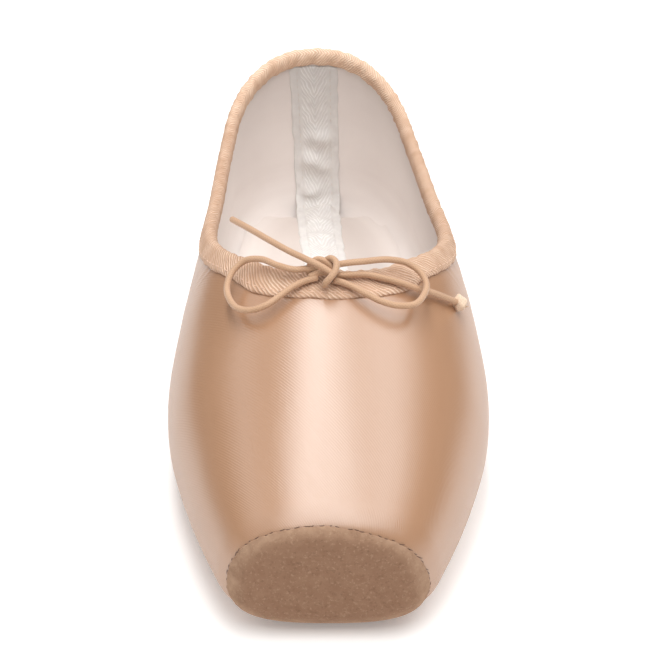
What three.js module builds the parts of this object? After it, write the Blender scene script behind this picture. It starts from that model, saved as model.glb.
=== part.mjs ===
// A pointe shoe, standing empty on its sole: millimetres, +Z up, toe towards -Y, heel towards +Y.
import * as THREE from 'three';
import { mergeVertices } from 'three/addons/utils/BufferGeometryUtils.js';

// Driving dimensions
const LENGTH = 235; // platform of the upper to the back of the heel
const BALL_WIDTH = 83.6; // across the widest part of the forefoot
const INSTEP_HEIGHT = 90; // floor to the top line of the last at the instep
const WALL = 2; // satin, canvas and hardened backing together
const GAP = 0.3; // clearance between pieces that lie on each other
const TOE_ROUNDING = 6; // radius of the platform's rim, across the section
const TOE_ROUNDING_LENGTH = 7; // length of the same rim along the foot
const TOE_ZONE = 30; // stretch of the toe in which offset surfaces are squeezed lengthwise
const HEEL_START = 190; // where the plan of the heel starts to round in
const HEEL_ROUNDNESS = 2.3; // exponent of that rounding, 2 for an ellipse
const HEEL_DRIFT = 4; // sideways bend of the empty shoe at its heel
const DRIFT_START = 90;
const LEAN_START = 165; // the heel's back line leans forward behind this station
const LEAN_MIDDLE = 24; // height of the heel's furthest point back
const LEAN_ABOVE = { amount: 6, reach: 38, power: 1.6 };
const LEAN_BELOW = { amount: 5, reach: 21, power: 2.5 };
const LEAN_POWER = 1.5;

// Sections of the last. along: share of LENGTH; width: share of BALL_WIDTH; top: share of INSTEP_HEIGHT;
// side: height of the widest line; floor: height of the underside; above, below: roundness exponents.
const LAST = [
  { along: 0, width: 0.541, top: 0.338, side: 12.8, floor: 2.3, above: 2.5, below: 2.8 },
  { along: 0.0425, width: 0.646, top: 0.373, side: 13.6, floor: 2.5, above: 2.45, below: 2.45 },
  { along: 0.085, width: 0.737, top: 0.416, side: 14.4, floor: 2.7, above: 2.35, below: 2.35 },
  { along: 0.153, width: 0.852, top: 0.487, side: 15.5, floor: 3.0, above: 2.2, below: 2.5 },
  { along: 0.23, width: 0.952, top: 0.571, side: 17.0, floor: 3.0, above: 2.1, below: 2.8 },
  { along: 0.315, width: 1, top: 0.658, side: 17.5, floor: 3.0, above: 2, below: 3 },
  { along: 0.391, width: 0.986, top: 0.744, side: 18.0, floor: 3.6, above: 2, below: 3 },
  { along: 0.477, width: 0.943, top: 0.822, side: 19.0, floor: 5.0, above: 2, below: 3 },
  { along: 0.596, width: 0.847, top: 0.928, side: 21.0, floor: 6.8, above: 2, below: 3 },
  { along: 0.723, width: 0.78, top: 1, side: 23.0, floor: 5.6, above: 2, below: 3 },
  { along: 0.851, width: 0.71, top: 1.078, side: 24.0, floor: 3.0, above: 2, below: 3 },
  { along: 1, width: 0.66, top: 1.111, side: 24.0, floor: 3.0, above: 2, below: 3 },
];

// Collar edge from the throat to the heel: station along the foot, and angle above the widest line.
const COLLAR = [
  { station: 71, angle: 90 },
  { station: 72.2, angle: 79 },
  { station: 75.2, angle: 70 },
  { station: 80.9, angle: 61.4 },
  { station: 86.9, angle: 53.2 },
  { station: 96, angle: 44.5 },
  { station: 112, angle: 34.5 },
  { station: 137, angle: 26 },
  { station: 167, angle: 23.2 },
  { station: 194, angle: 23.4 },
  { station: 214, angle: 26.6 },
  { station: 227, angle: 29.6 },
  { station: 233.2, angle: 31 },
  { station: LENGTH, angle: 31.5 },
];
const COLLAR_END = COLLAR.length - 1;
const COLLAR_HEEL_ROW = 9; // rows from here on bend round the heel and are divided more finely
const THROAT_FAN = 17; // how far the sections behind the throat lean back towards the sole

// Outsole
const SOLE_FRONT = 13;
const SOLE_BACK = 226;
const SOLE_FRONT_ROUND = 24;
const SOLE_BACK_ROUND = 20;
const SOLE_THICKNESS = 3.2;
const TOE_SPRING = 1.2;
const TOE_SPRING_START = 32;
const FEATHER_MARGIN = 5; // the upper's lower edge lies this far inside the sole's outline
const SOLE_OUTLINE = [
  { station: SOLE_FRONT, halfWidth: 20 },
  { station: 45, halfWidth: 25 },
  { station: 72, halfWidth: 27 },
  { station: 105, halfWidth: 21 },
  { station: 145, halfWidth: 14.5 },
  { station: 180, halfWidth: 16.5 },
  { station: 205, halfWidth: 18.5 },
  { station: SOLE_BACK, halfWidth: 19 },
];

// Insole, suede tip, binding and heel tape
const INSOLE_THICKNESS = 2;
const INSOLE_FRONT = 10;
const INSOLE_BACK = 229;
const INSOLE_BACK_ROUND = 11;
const INSOLE_SHARE = 0.9; // of the inside width
const INSOLE_GAP = 0.8; // the board rests on the hollow of the wall with this much room at its edges
const TIP_THICKNESS = 1.2;
const TIP_EDGE = [ // how far back the suede reaches, by angle round the toe
  { angle: -90, station: 9 },
  { angle: -60, station: 6 },
  { angle: -30, station: 2.8 },
  { angle: 0, station: 2.9 },
  { angle: 30, station: 2 },
  { angle: 60, station: 1.4 },
  { angle: 90, station: 1.75 },
];
const BINDING_THICKNESS = 0.7;
const BINDING_OUTER_LEG = { throat: 8, side: 5 };
const BINDING_NARROWS = { from: 1, to: 4.5 }; // rows of the collar between which the outer leg narrows
const BINDING_INNER_LEG = 2.9;
const TAPE_WIDTH = { heel: 15.8, front: 13 };
const TAPE_SIDE = { heel: -1, front: 2.6 }; // it runs a little aslant of the midline
const TAPE_THICKNESS = 0.6;
const TAPE_TOP_DROP = BINDING_INNER_LEG + 1.6; // below the collar edge
const TAPE_CORNER = 7; // radius of its bend from the heel on to the board
const TAPE_FRONT = 150; // station of its front end

// Bow of the drawstring, each route as x, station and lift over the satin
const CORD_DIAMETER = 1.7;
const CORD_SIDES = 8;
const BOW_ROUTES = {
  bow_loop_left: {
    steps: 20,
    points: [
      [-5.4, 69.2, 3.7], [-8, 69.1, 3.9], [-12.5, 71.2, 4.2], [-17, 74.8, 4.4], [-21.3, 76.5, 4.4],
      [-24, 75.2, 4.4], [-25.4, 71.5, 4.2], [-24.6, 66.5, 4], [-22.2, 62, 3.8], [-19, 60, 3.6],
      [-15, 60.4, 3.4], [-11.5, 63, 3], [-8.4, 65.4, 2.7], [-5.4, 66.8, 2.6],
    ],
  },
  bow_loop_right: {
    steps: 20,
    points: [
      [3.8, 69.2, 5], [9, 70.8, 4.9], [15.6, 73.5, 4.8], [20, 74.3, 4.9], [23, 72.8, 5.2],
      [24.4, 69.5, 5.5], [23.6, 65.5, 5.2], [21.3, 61.9, 4.6], [17.3, 60.2, 4], [13, 60.8, 3.4],
      [9, 62.8, 3], [6.2, 64.6, 2.7], [3.8, 65.8, 2.6],
    ],
  },
  bow_end_left: {
    steps: 8,
    points: [
      [-5.5, 69.2, 6.3], [-9.6, 73, 5.8], [-14.8, 78.4, 5.6], [-20, 84.6, 5.6], [-25.2, 92.2, 5.6],
    ],
  },
  bow_end_right: {
    steps: 8,
    points: [
      [3.8, 68.4, 2.5], [9, 69.4, 2.5], [15.6, 69.8, 2.4],
      [22.2, 70.9, 2.3], [26.6, 73.2, 2], [31.2, 76.6, 1.6],
    ],
  },
};
const KNOT = { x: -0.8, station: 68.6, lift: 4.2, halfLength: 3.6, core: 2.5, wrap: 3.3, wrapHalf: 1.1 };
const KNOT_TAPER = 0.7; // share of the core that is left at its ends, and where it starts to narrow
const KNOT_CREST = 0.6; // share of the wrapped turn that is level
const KNOT_ALONG = 1.4; // the knot is pulled long over the throat and pressed flat on the binding
const KNOT_DEEP = 0.8;
const END_KNOT = { x: 33.6, station: 78.4, lift: 1.9, radius: 1.4, halfLength: 1.9 };

// Fineness of the faceted skins
const GIRTH_ROWS = 16;
const TOE_ARC_STEPS = 4;
const VAMP_STEPS = 9;
const QUARTER_DIVISIONS = 2;
const HEEL_DIVISIONS = 3;
const SOLE_STEPS = 26;
const SOLE_ACROSS = 8;
const TAPE_STEPS = 4;
const DISC_STEPS = 2;
const KNOT_SIDES = 14;
const END_KNOT_STEPS = 6;

const MIDDLE = (LENGTH - GAP - TIP_THICKNESS) / 2; // station of the origin
const HALF_TURN = Math.PI / 2;
const SMALL = 1e-9;
const MERGE = 1e-3;

const { clamp, degToRad, lerp, smoothstep } = THREE.MathUtils;

// A smooth curve through a table's points: cubic pieces, each point's slope the weighted mean of
// the slopes on its two sides. The end slopes can be given.
function smoothCurve(xs, ys, startSlope, endSlope) {
  const last = xs.length - 1;
  const steps = xs.slice(1).map((x, i) => x - xs[i]);
  const rises = steps.map((step, i) => (ys[i + 1] - ys[i]) / step);
  const slopes = ys.map((_, i) => {
    if (i === 0) {
      return startSlope ?? rises[0];
    }
    if (i === last) {
      return endSlope ?? rises[last - 1];
    }
    return (rises[i - 1] * steps[i] + rises[i] * steps[i - 1]) / (steps[i - 1] + steps[i]);
  });
  return (value) => {
    const x = clamp(value, xs[0], xs[last]);
    let i = 0;
    while (i < last - 1 && x > xs[i + 1]) {
      i += 1;
    }
    const t = (x - xs[i]) / steps[i];
    const rest = 1 - t;
    const start = rest * rest * ((1 + 2 * t) * ys[i] + t * steps[i] * slopes[i]);
    return start + t * t * ((3 - 2 * t) * ys[i + 1] - rest * steps[i] * slopes[i + 1]);
  };
}

const lastStations = LAST.map((row) => row.along * LENGTH);
const lastColumn = (size) => smoothCurve(lastStations, LAST.map(size));
const last = {
  halfWidth: lastColumn((row) => row.width * BALL_WIDTH / 2),
  top: lastColumn((row) => row.top * INSTEP_HEIGHT),
  side: lastColumn((row) => row.side),
  floor: lastColumn((row) => row.floor),
  above: lastColumn((row) => row.above),
  below: lastColumn((row) => row.below),
};
const collarRows = COLLAR.map((_, i) => i);
const collarStation = smoothCurve(collarRows, COLLAR.map((row) => row.station), 0, 0);
const collarAngle = smoothCurve(collarRows, COLLAR.map((row) => degToRad(row.angle)));
const tipEdge = smoothCurve(
  TIP_EDGE.map((row) => degToRad(row.angle)),
  TIP_EDGE.map((row) => row.station),
);
const soleHalfWidth = smoothCurve(
  SOLE_OUTLINE.map((row) => row.station),
  SOLE_OUTLINE.map((row) => row.halfWidth),
);

// Plan of the heel: a quarter superellipse from 1 where it starts to 0 at its end.
function heelRound(share) {
  return (1 - share ** HEEL_ROUNDNESS) ** (1 / HEEL_ROUNDNESS);
}

// The section of the last at a station, moved inwards by an inset: a superellipse above and below the
// widest line, shrunk by the rounded rim of the platform and by the round plan of the heel.
function section(station, inset) {
  const rimLength = TOE_ROUNDING_LENGTH - inset;
  const rim = clamp((inset + rimLength - station) / rimLength, 0, 1);
  const shrink = inset + (TOE_ROUNDING - inset) * (1 - Math.sqrt(1 - rim * rim));
  const heel = clamp((station - HEEL_START) / (LENGTH - inset - HEEL_START), 0, 1);
  const side = last.side(station);
  return {
    halfWidth: (last.halfWidth(station) - shrink) * heelRound(heel),
    side,
    up: last.top(station) - side - shrink,
    down: side - last.floor(station) - shrink,
    above: last.above(station),
    below: last.below(station),
  };
}

// Offset surfaces reach past the last, or stop short of it, at the platform and at the heel.
function offsetStation(station, inset) {
  if (station < TOE_ZONE) {
    return inset + station * (TOE_ZONE - inset) / TOE_ZONE;
  }
  if (station > HEEL_START) {
    return lerp(HEEL_START, LENGTH - inset, (station - HEEL_START) / (LENGTH - HEEL_START));
  }
  return station;
}

// A point of the last by station, angle round the section (-90 degrees at the sole, 90 on top) and inset.
function lastPoint(station, angle, inset) {
  const at = offsetStation(station, inset);
  const { halfWidth, side, up, down, above, below } = section(at, inset);
  const cosine = Math.abs(Math.cos(angle)) < SMALL ? 0 : Math.cos(angle);
  const sine = Math.sin(angle);
  const power = sine >= 0 ? above : below;
  const reach = (Math.abs(cosine) ** power + Math.abs(sine) ** power) ** (-1 / power);
  return new THREE.Vector3(halfWidth * reach * cosine, at, side + (sine >= 0 ? up : down) * reach * sine);
}

// Height of the last's top or underside over a place on the floor.
function lastHeight(x, station, inset, onTop) {
  const at = offsetStation(station, inset);
  const { halfWidth, side, up, down, above, below } = section(at, inset);
  const power = onTop ? above : below;
  const share = halfWidth > SMALL ? clamp(Math.abs(x) / halfWidth, 0, 1) : 0;
  const reach = (1 - share ** power) ** (1 / power);
  return onTop ? side + up * reach : side - down * reach;
}

// The empty shoe's own stance: the heel's back line leans, and the heel drifts to one side.
function settle(point) {
  const behind = clamp((point.y - LEAN_START) / (LENGTH - LEAN_START), 0, 1) ** LEAN_POWER;
  const height = point.z - LEAN_MIDDLE;
  const { amount, reach, power } = height > 0 ? LEAN_ABOVE : LEAN_BELOW;
  const lean = amount * (Math.abs(height) / reach) ** power * behind;
  const drift = HEEL_DRIFT * smoothstep(point.y, DRIFT_START, LENGTH);
  return new THREE.Vector3(point.x - drift, point.y - lean - MIDDLE, point.z);
}

const mirrored = (point) => new THREE.Vector3(-point.x, point.y, point.z);
const shares = (steps) => Array.from({ length: steps + 1 }, (_, i) => i / steps);
const flipped = (grid) => [...grid].reverse();

// A half grid and its mirror image, which together wrap the whole shoe.
function bothSides(grid) {
  return [grid, flipped(grid.map((row) => row.map(mirrored)))];
}

// Joins grids of points into one closed skin, without the faces that have shrunk to nothing.
function skin(grids) {
  const positions = [];
  for (const grid of grids) {
    for (let i = 0; i + 1 < grid.length; i += 1) {
      for (let j = 0; j + 1 < grid[i].length; j += 1) {
        const [a, b, c, d] = [grid[i][j], grid[i + 1][j], grid[i + 1][j + 1], grid[i][j + 1]];
        for (const corner of [a, b, c, a, c, d]) {
          positions.push(...settle(corner).toArray());
        }
      }
    }
  }
  const loose = new THREE.BufferGeometry();
  loose.setAttribute('position', new THREE.Float32BufferAttribute(positions, 3));
  const merged = mergeVertices(loose, MERGE);
  const corners = merged.index.array;
  const kept = [];
  for (let i = 0; i < corners.length; i += 3) {
    const [a, b, c] = corners.slice(i, i + 3);
    if (a !== b && b !== c && c !== a) {
      kept.push(a, b, c);
    }
  }
  merged.setIndex(kept);
  merged.computeVertexNormals();
  return merged;
}

// Outline of the sole, and of the hole over it, by station: half width with rounded ends.
function outlineHalfWidth(station, inset) {
  const front = clamp((SOLE_FRONT + inset + SOLE_FRONT_ROUND - station) / SOLE_FRONT_ROUND, 0, 1);
  const back = clamp((station - SOLE_BACK + inset + SOLE_BACK_ROUND) / SOLE_BACK_ROUND, 0, 1);
  const ends = Math.sqrt(1 - front * front) * Math.sqrt(1 - back * back);
  return (soleHalfWidth(station) - inset) * ends;
}

// Angle of the upper's lower edge: on the midline at both ends, along the sole's outline between them.
function featherAngle(station) {
  const { halfWidth, below } = section(station, 0);
  const across = halfWidth > SMALL ? outlineHalfWidth(station, FEATHER_MARGIN) / halfWidth : 0;
  return across > SMALL ? Math.atan2(-((1 - across ** below) ** (1 / below)), across) : -HALF_TURN;
}

// Lines over the upper from its lower edge to its upper one, from the platform back to the heel.
function upperLines() {
  const throat = COLLAR[0].station;
  const toeArc = shares(TOE_ARC_STEPS).map((t) => TOE_ROUNDING_LENGTH * (1 - Math.cos(t * HALF_TURN)));
  const vamp = shares(VAMP_STEPS).slice(1).map((t) => lerp(TOE_ROUNDING_LENGTH, throat, t));
  const closed = [...toeArc, ...vamp].map((station) => ({ foot: station, top: station, angle: HALF_TURN }));
  const open = collarSteps().slice(1).map((row) => {
    const station = collarStation(row);
    const fan = THROAT_FAN * Math.sin(Math.PI * Math.min(row / COLLAR_HEEL_ROW, 1));
    return { foot: station + fan, top: station, angle: collarAngle(row) };
  });
  return [...closed, ...open];
}

// Places along the collar table, closer together round the heel.
function collarSteps() {
  const quarter = shares(COLLAR_HEEL_ROW * QUARTER_DIVISIONS).map((t) => t * COLLAR_HEEL_ROW);
  const heelRows = COLLAR_END - COLLAR_HEEL_ROW;
  const heel = shares(heelRows * HEEL_DIVISIONS).slice(1).map((t) => COLLAR_HEEL_ROW + t * heelRows);
  return [...quarter, ...heel];
}

// One wall of the upper: a half grid of lines, each divided from the sole to the collar.
function upperWall(inset) {
  return upperLines().map(({ foot, top, angle }) => {
    const lowest = featherAngle(foot);
    return shares(GIRTH_ROWS).map((t) => lastPoint(lerp(foot, top, t), lerp(lowest, angle, t), inset));
  });
}

// The flat platform inside a ring of points, from its centre out.
function platform(ring) {
  const centre = new THREE.Vector3(0, ring[0].y, last.side(0));
  return shares(DISC_STEPS).map((t) => ring.map((point) => centre.clone().lerp(point, t)));
}

// The rim between the upper's two walls along one edge, where that edge has left the midline.
function upperRim(outer, inner, end) {
  const open = outer.map((line) => line.at(end).x > SMALL);
  const rim = outer.map((line, i) => [line.at(end), inner[i].at(end)]);
  return rim.filter((_, i) => open[i - 1] || open[i] || open[i + 1]);
}

function upperGeometry() {
  const outer = upperWall(0);
  const inner = upperWall(WALL);
  return skin([
    ...bothSides(platform(outer[0])),
    ...bothSides(outer),
    ...bothSides(flipped(inner)),
    ...bothSides(flipped(platform(inner[0]))),
    ...bothSides(flipped(upperRim(outer, inner, 0))),
    ...bothSides(upperRim(outer, inner, -1)),
  ]);
}

// A sheet between two height functions over the floor: top, underside and the rim between them.
function sheetGeometry(stations, halfWidthAt, topAt, undersideAt) {
  const across = shares(SOLE_ACROSS).map((t) => 2 * t - 1);
  const layer = (heightAt) => stations.map((station) => across.map((share) => {
    const x = share * halfWidthAt(station);
    return new THREE.Vector3(x, station, heightAt(x, station));
  }));
  const top = layer(topAt);
  const underside = layer(undersideAt);
  const rim = (end) => top.map((line, i) => [line.at(end), underside[i].at(end)]);
  const end = (index) => [top.at(index), underside.at(index)];
  return skin([flipped(top), underside, rim(0), flipped(rim(-1)), end(0), flipped(end(-1))]);
}

// Stations that crowd towards both ends, where an outline turns round.
function roundedStations(front, back, steps) {
  return shares(steps).map((t) => lerp(front, back, (1 - Math.cos(Math.PI * t)) / 2));
}

function outsoleGeometry() {
  const topAt = (x, station) => lastHeight(x, station, -GAP, false);
  const undersideAt = (x, station) => {
    const spring = TOE_SPRING * (1 - smoothstep(station, SOLE_FRONT, TOE_SPRING_START));
    return Math.max(0, topAt(x, station) - SOLE_THICKNESS) + spring;
  };
  const stations = roundedStations(SOLE_FRONT, SOLE_BACK, SOLE_STEPS);
  return sheetGeometry(stations, (station) => outlineHalfWidth(station, 0), topAt, undersideAt);
}

function insoleTop(x, station) {
  return lastHeight(x, station, WALL + INSOLE_GAP, false) + INSOLE_THICKNESS;
}

function insoleGeometry() {
  const inset = WALL + INSOLE_GAP;
  const undersideAt = (x, station) => lastHeight(x, station, inset, false);
  const halfWidthAt = (station) => {
    const back = clamp((station - INSOLE_BACK + INSOLE_BACK_ROUND) / INSOLE_BACK_ROUND, 0, 1);
    const inside = section(offsetStation(station, inset), inset).halfWidth;
    return INSOLE_SHARE * inside * Math.sqrt(1 - back * back);
  };
  const stations = roundedStations(INSOLE_FRONT, INSOLE_BACK, SOLE_STEPS);
  return sheetGeometry(stations, halfWidthAt, insoleTop, undersideAt);
}

function suedeTipGeometry() {
  const angles = shares(GIRTH_ROWS).map((t) => lerp(-HALF_TURN, HALF_TURN, t));
  const layer = (inset) => shares(TOE_ARC_STEPS).map((t) => {
    const back = 1 - Math.cos(t * HALF_TURN);
    return angles.map((angle) => lastPoint(tipEdge(angle) * back, angle, inset));
  });
  const inner = layer(-GAP);
  const outer = layer(-GAP - TIP_THICKNESS);
  return skin([
    ...bothSides(platform(outer[0])),
    ...bothSides(outer),
    ...bothSides([outer.at(-1), inner.at(-1)]),
    ...bothSides(flipped(inner)),
    ...bothSides(flipped(platform(inner[0]))),
  ]);
}

// Angle of the surface of the last at a height: used on its steep sides.
function angleAtHeight(station, height) {
  const { side, up, down, above, below } = section(station, 0);
  const rise = height >= side ? (height - side) / up : (height - side) / down;
  const power = height >= side ? above : below;
  return Math.atan2(rise, (1 - Math.min(Math.abs(rise), 1) ** power) ** (1 / power));
}

// Angle of the surface of the last under a point: used on its flat top.
function angleOfPoint(point) {
  const { halfWidth, side, up } = section(point.y, 0);
  return Math.atan2((point.z - side) / up, point.x / halfWidth);
}

// A function from distance below the collar edge, and inset, to a point on the upper.
function collarFrame(row) {
  const step = 0.02;
  const onEdge = (at) => lastPoint(collarStation(at), collarAngle(at), 0);
  const steep = collarAngle(row) < Math.PI / 4;
  const edge = onEdge(row);
  const along = new THREE.Vector3(row === 0 ? 1 : -1, 0, 0);
  if (row > 0 && row < COLLAR_END) {
    along.subVectors(onEdge(row + step), onEdge(row - step)).normalize();
  }
  const [station, angle] = [collarStation(row), collarAngle(row)];
  const round = lastPoint(station, angle + step, 0).sub(lastPoint(station, angle - step, 0));
  const lengthwise = steep ? along : lastPoint(station + step, angle, 0).sub(edge);
  const outward = new THREE.Vector3().crossVectors(lengthwise, round).normalize();
  const down = new THREE.Vector3().crossVectors(along, outward).normalize();
  return (distance, inset) => {
    const point = edge.clone().addScaledVector(down, distance);
    const place = steep ? angleAtHeight(point.y, point.z) : angleOfPoint(point);
    return lastPoint(point.y, place, inset);
  };
}

// The folded tape's section at a place along the collar: distance below its edge and inset from the satin.
function bindingProfile(row) {
  const narrowed = smoothstep(row, BINDING_NARROWS.from, BINDING_NARROWS.to);
  const outerLeg = lerp(BINDING_OUTER_LEG.throat, BINDING_OUTER_LEG.side, narrowed);
  const outside = -GAP - BINDING_THICKNESS;
  const inside = WALL + GAP + BINDING_THICKNESS;
  const crown = -GAP - BINDING_THICKNESS;
  const shoulder = { rise: 0.6 * crown, inwards: 0.25 };
  return [
    [outerLeg, -GAP],
    [outerLeg, outside],
    [outerLeg / 2, outside],
    [0, outside],
    [shoulder.rise, lerp(outside, WALL / 2, shoulder.inwards)],
    [crown, WALL / 2],
    [shoulder.rise, lerp(inside, WALL / 2, shoulder.inwards)],
    [0, inside],
    [BINDING_INNER_LEG, inside],
    [BINDING_INNER_LEG, WALL + GAP],
    [-GAP, WALL + GAP],
    [-GAP, -GAP],
    [outerLeg / 2, -GAP],
    [outerLeg, -GAP],
  ];
}

function bindingGeometry() {
  const lines = collarSteps().map((row) => {
    const place = collarFrame(row);
    return bindingProfile(row).map(([distance, inset]) => place(distance, inset));
  });
  return skin(bothSides(lines));
}

// The heel tape's midline: down the back of the heel, round its corner and forward over the board.
function heelTapeLine() {
  const back = LENGTH - WALL - GAP;
  const corner = back - TAPE_CORNER;
  const high = lastPoint(LENGTH, collarAngle(COLLAR_END), WALL + GAP).z - TAPE_TOP_DROP;
  const low = insoleTop(0, corner) + GAP + TAPE_CORNER;
  const heel = shares(TAPE_STEPS).map((t) => ({ station: back, height: lerp(high, low, t), turn: 0 }));
  const bend = shares(TAPE_STEPS).slice(1).map((t) => {
    const turn = t * HALF_TURN;
    const station = corner + TAPE_CORNER * Math.cos(turn);
    return { station, height: low - TAPE_CORNER * Math.sin(turn), turn };
  });
  const board = shares(TAPE_STEPS).slice(1).map((t) => {
    const station = lerp(corner, TAPE_FRONT, t);
    return { station, height: insoleTop(0, station) + GAP, turn: HALF_TURN };
  });
  return [...heel, ...bend, ...board];
}

function heelTapeGeometry() {
  const line = heelTapeLine();
  const depth = LENGTH - WALL - GAP - HEEL_START;
  const heelHalfWidth = last.halfWidth(LENGTH) - WALL - GAP;
  const layer = (thickness) => line.map(({ station, height, turn }, i) => {
    const along = i / (line.length - 1);
    const middle = lerp(TAPE_SIDE.heel, TAPE_SIDE.front, along);
    const width = lerp(TAPE_WIDTH.heel, TAPE_WIDTH.front, along);
    const widest = heelHalfWidth * Math.cos(angleAtHeight(LENGTH, height));
    const forward = thickness * Math.cos(turn);
    return shares(TAPE_STEPS).map((t) => {
      const x = middle + width * (t - 0.5);
      const bow = depth * (1 - heelRound(Math.abs(x) / widest)) * Math.cos(turn);
      const rise = (insoleTop(x, station) - insoleTop(0, station)) * Math.sin(turn);
      return new THREE.Vector3(x, station - bow - forward, height + rise + thickness * Math.sin(turn));
    });
  });
  const near = layer(0);
  const far = layer(TAPE_THICKNESS);
  const rim = (end) => near.map((line, i) => [line.at(end), far[i].at(end)]);
  const end = (index) => [near.at(index), far.at(index)];
  return skin([flipped(near), far, rim(0), flipped(rim(-1)), end(0), flipped(end(-1))]);
}

// A place over the satin of the vamp or over the throat.
function overVamp([x, station, lift]) {
  return settle(new THREE.Vector3(x, station, lastHeight(x, station, -lift, true)));
}

function cordGeometry({ points, steps }) {
  const round = new THREE.Shape().absarc(0, 0, CORD_DIAMETER / 2, 0, 2 * Math.PI);
  const extrudePath = new THREE.CatmullRomCurve3(points.map(overVamp));
  return new THREE.ExtrudeGeometry(round, { steps, curveSegments: CORD_SIDES / 2, extrudePath });
}

// The bow's knot: a spindle of cord with one turn wrapped round its middle.
function knotGeometry() {
  const { halfLength, core, wrap, wrapHalf } = KNOT;
  const profile = [
    [0, -halfLength], [core * KNOT_TAPER, -halfLength], [core, -halfLength * KNOT_TAPER], [core, -wrapHalf],
    [wrap, -wrapHalf * KNOT_CREST], [wrap, wrapHalf * KNOT_CREST], [core, wrapHalf],
    [core, halfLength * KNOT_TAPER], [core * KNOT_TAPER, halfLength], [0, halfLength],
  ];
  const outline = profile.map(([radius, along]) => new THREE.Vector2(radius, along));
  const geometry = new THREE.LatheGeometry(outline, KNOT_SIDES);
  return geometry.rotateZ(-HALF_TURN).scale(1, KNOT_ALONG, KNOT_DEEP);
}

function endKnotGeometry() {
  const { radius, halfLength } = END_KNOT;
  const profile = shares(END_KNOT_STEPS).map((t) => {
    const turn = lerp(-HALF_TURN, HALF_TURN, t);
    return new THREE.Vector2(Math.max(radius * Math.cos(turn), 0), halfLength * Math.sin(turn));
  });
  return new THREE.LatheGeometry(profile, CORD_SIDES).rotateZ(-HALF_TURN);
}

function finish(color, roughness) {
  return new THREE.MeshStandardMaterial({ color, roughness, metalness: 0 });
}

const finishes = {
  satin: finish('#dcb496', 0.4),
  leather: finish('#b98f6e', 0.6),
  board: finish('#d8c6ae', 0.85),
  suede: finish('#93705a', 0.95),
  twill: finish('#d9ab8b', 0.8),
  tape: finish('#dcd6d0', 0.85),
  cord: finish('#b98b69', 0.75),
};

const shoe = new THREE.Group();

function add(name, geometry, material) {
  const mesh = new THREE.Mesh(geometry, material);
  mesh.name = name;
  shoe.add(mesh);
  return mesh;
}

add('upper', upperGeometry(), finishes.satin);
add('outsole', outsoleGeometry(), finishes.leather);
add('insole', insoleGeometry(), finishes.board);
add('suede_tip', suedeTipGeometry(), finishes.suede);
add('collar_binding', bindingGeometry(), finishes.twill);
add('heel_tape', heelTapeGeometry(), finishes.tape);
for (const [name, route] of Object.entries(BOW_ROUTES)) {
  add(name, cordGeometry(route), finishes.cord);
}

const throatRise = overVamp([0, KNOT.station + 1, KNOT.lift]).sub(overVamp([0, KNOT.station, KNOT.lift]));
const knot = add('bow_knot', knotGeometry(), finishes.cord);
knot.position.copy(overVamp([KNOT.x, KNOT.station, KNOT.lift]));
knot.rotation.x = Math.atan2(throatRise.z, throatRise.y);

const endKnot = add('bow_end_knot', endKnotGeometry(), finishes.cord);
const endRoute = BOW_ROUTES.bow_end_right.points.map(overVamp);
const endDirection = endRoute.at(-1).clone().sub(endRoute.at(-2)).normalize();
endKnot.position.copy(overVamp([END_KNOT.x, END_KNOT.station, END_KNOT.lift]));
endKnot.quaternion.setFromUnitVectors(new THREE.Vector3(1, 0, 0), endDirection);

export default shoe;
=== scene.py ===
"""A pointe shoe of peach satin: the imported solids, dressed with the fine surface of each piece."""

import logging
import math
from dataclasses import dataclass, field
from enum import Enum
from functools import partial
from typing import Callable, NamedTuple, Sequence

import bpy
import numpy as np
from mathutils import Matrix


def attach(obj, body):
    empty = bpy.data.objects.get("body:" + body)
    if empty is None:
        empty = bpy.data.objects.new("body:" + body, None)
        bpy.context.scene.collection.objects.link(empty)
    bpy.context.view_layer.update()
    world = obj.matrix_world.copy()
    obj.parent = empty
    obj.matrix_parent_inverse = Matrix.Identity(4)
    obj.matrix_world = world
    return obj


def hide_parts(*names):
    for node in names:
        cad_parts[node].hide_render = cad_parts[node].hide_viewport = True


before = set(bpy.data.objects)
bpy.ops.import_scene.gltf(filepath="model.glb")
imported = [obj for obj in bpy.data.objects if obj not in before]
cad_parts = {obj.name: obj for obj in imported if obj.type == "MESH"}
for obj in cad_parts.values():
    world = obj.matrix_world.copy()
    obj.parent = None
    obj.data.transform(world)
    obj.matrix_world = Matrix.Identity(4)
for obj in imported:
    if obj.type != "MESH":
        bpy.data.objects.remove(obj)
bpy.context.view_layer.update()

LOG = logging.getLogger("pointe_shoe")
Array = np.ndarray
Curve = Callable[[Array], Array]
Pair = tuple[float, float]
Triple = tuple[float, float, float]
Piece = bpy.types.Object
Tree = bpy.types.NodeTree
Socket = bpy.types.NodeSocket
Adder = Callable[..., Socket]

MM = 0.001
BODY = "root"
CLOTH_UV = "cloth"  # every piece's UV map, in millimetres of cloth
QUARTER_TURN = math.pi / 2
FULL_TURN = 2 * math.pi
SIDES = (1, -1)  # the right half and the left half
CREASE_SPREAD = 1.3  # how far a crease's ridges spread, in squared widths
WELD = 1e-4  # mm: points closer than this are one point
SMALL = 1e-9
CRISP_DEG = 60.0  # edges that turn more sharply than this are not smoothed over
WALL = 2.0  # mm: satin, canvas and hardened backing together
TIP_SHARE = 0.8  # length of a cord's rounded tip, as a share of its radius
WAVE_PERIOD = FULL_TURN / 20  # length of one band of the Wave texture at scale 1


# Small mathematics


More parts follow.
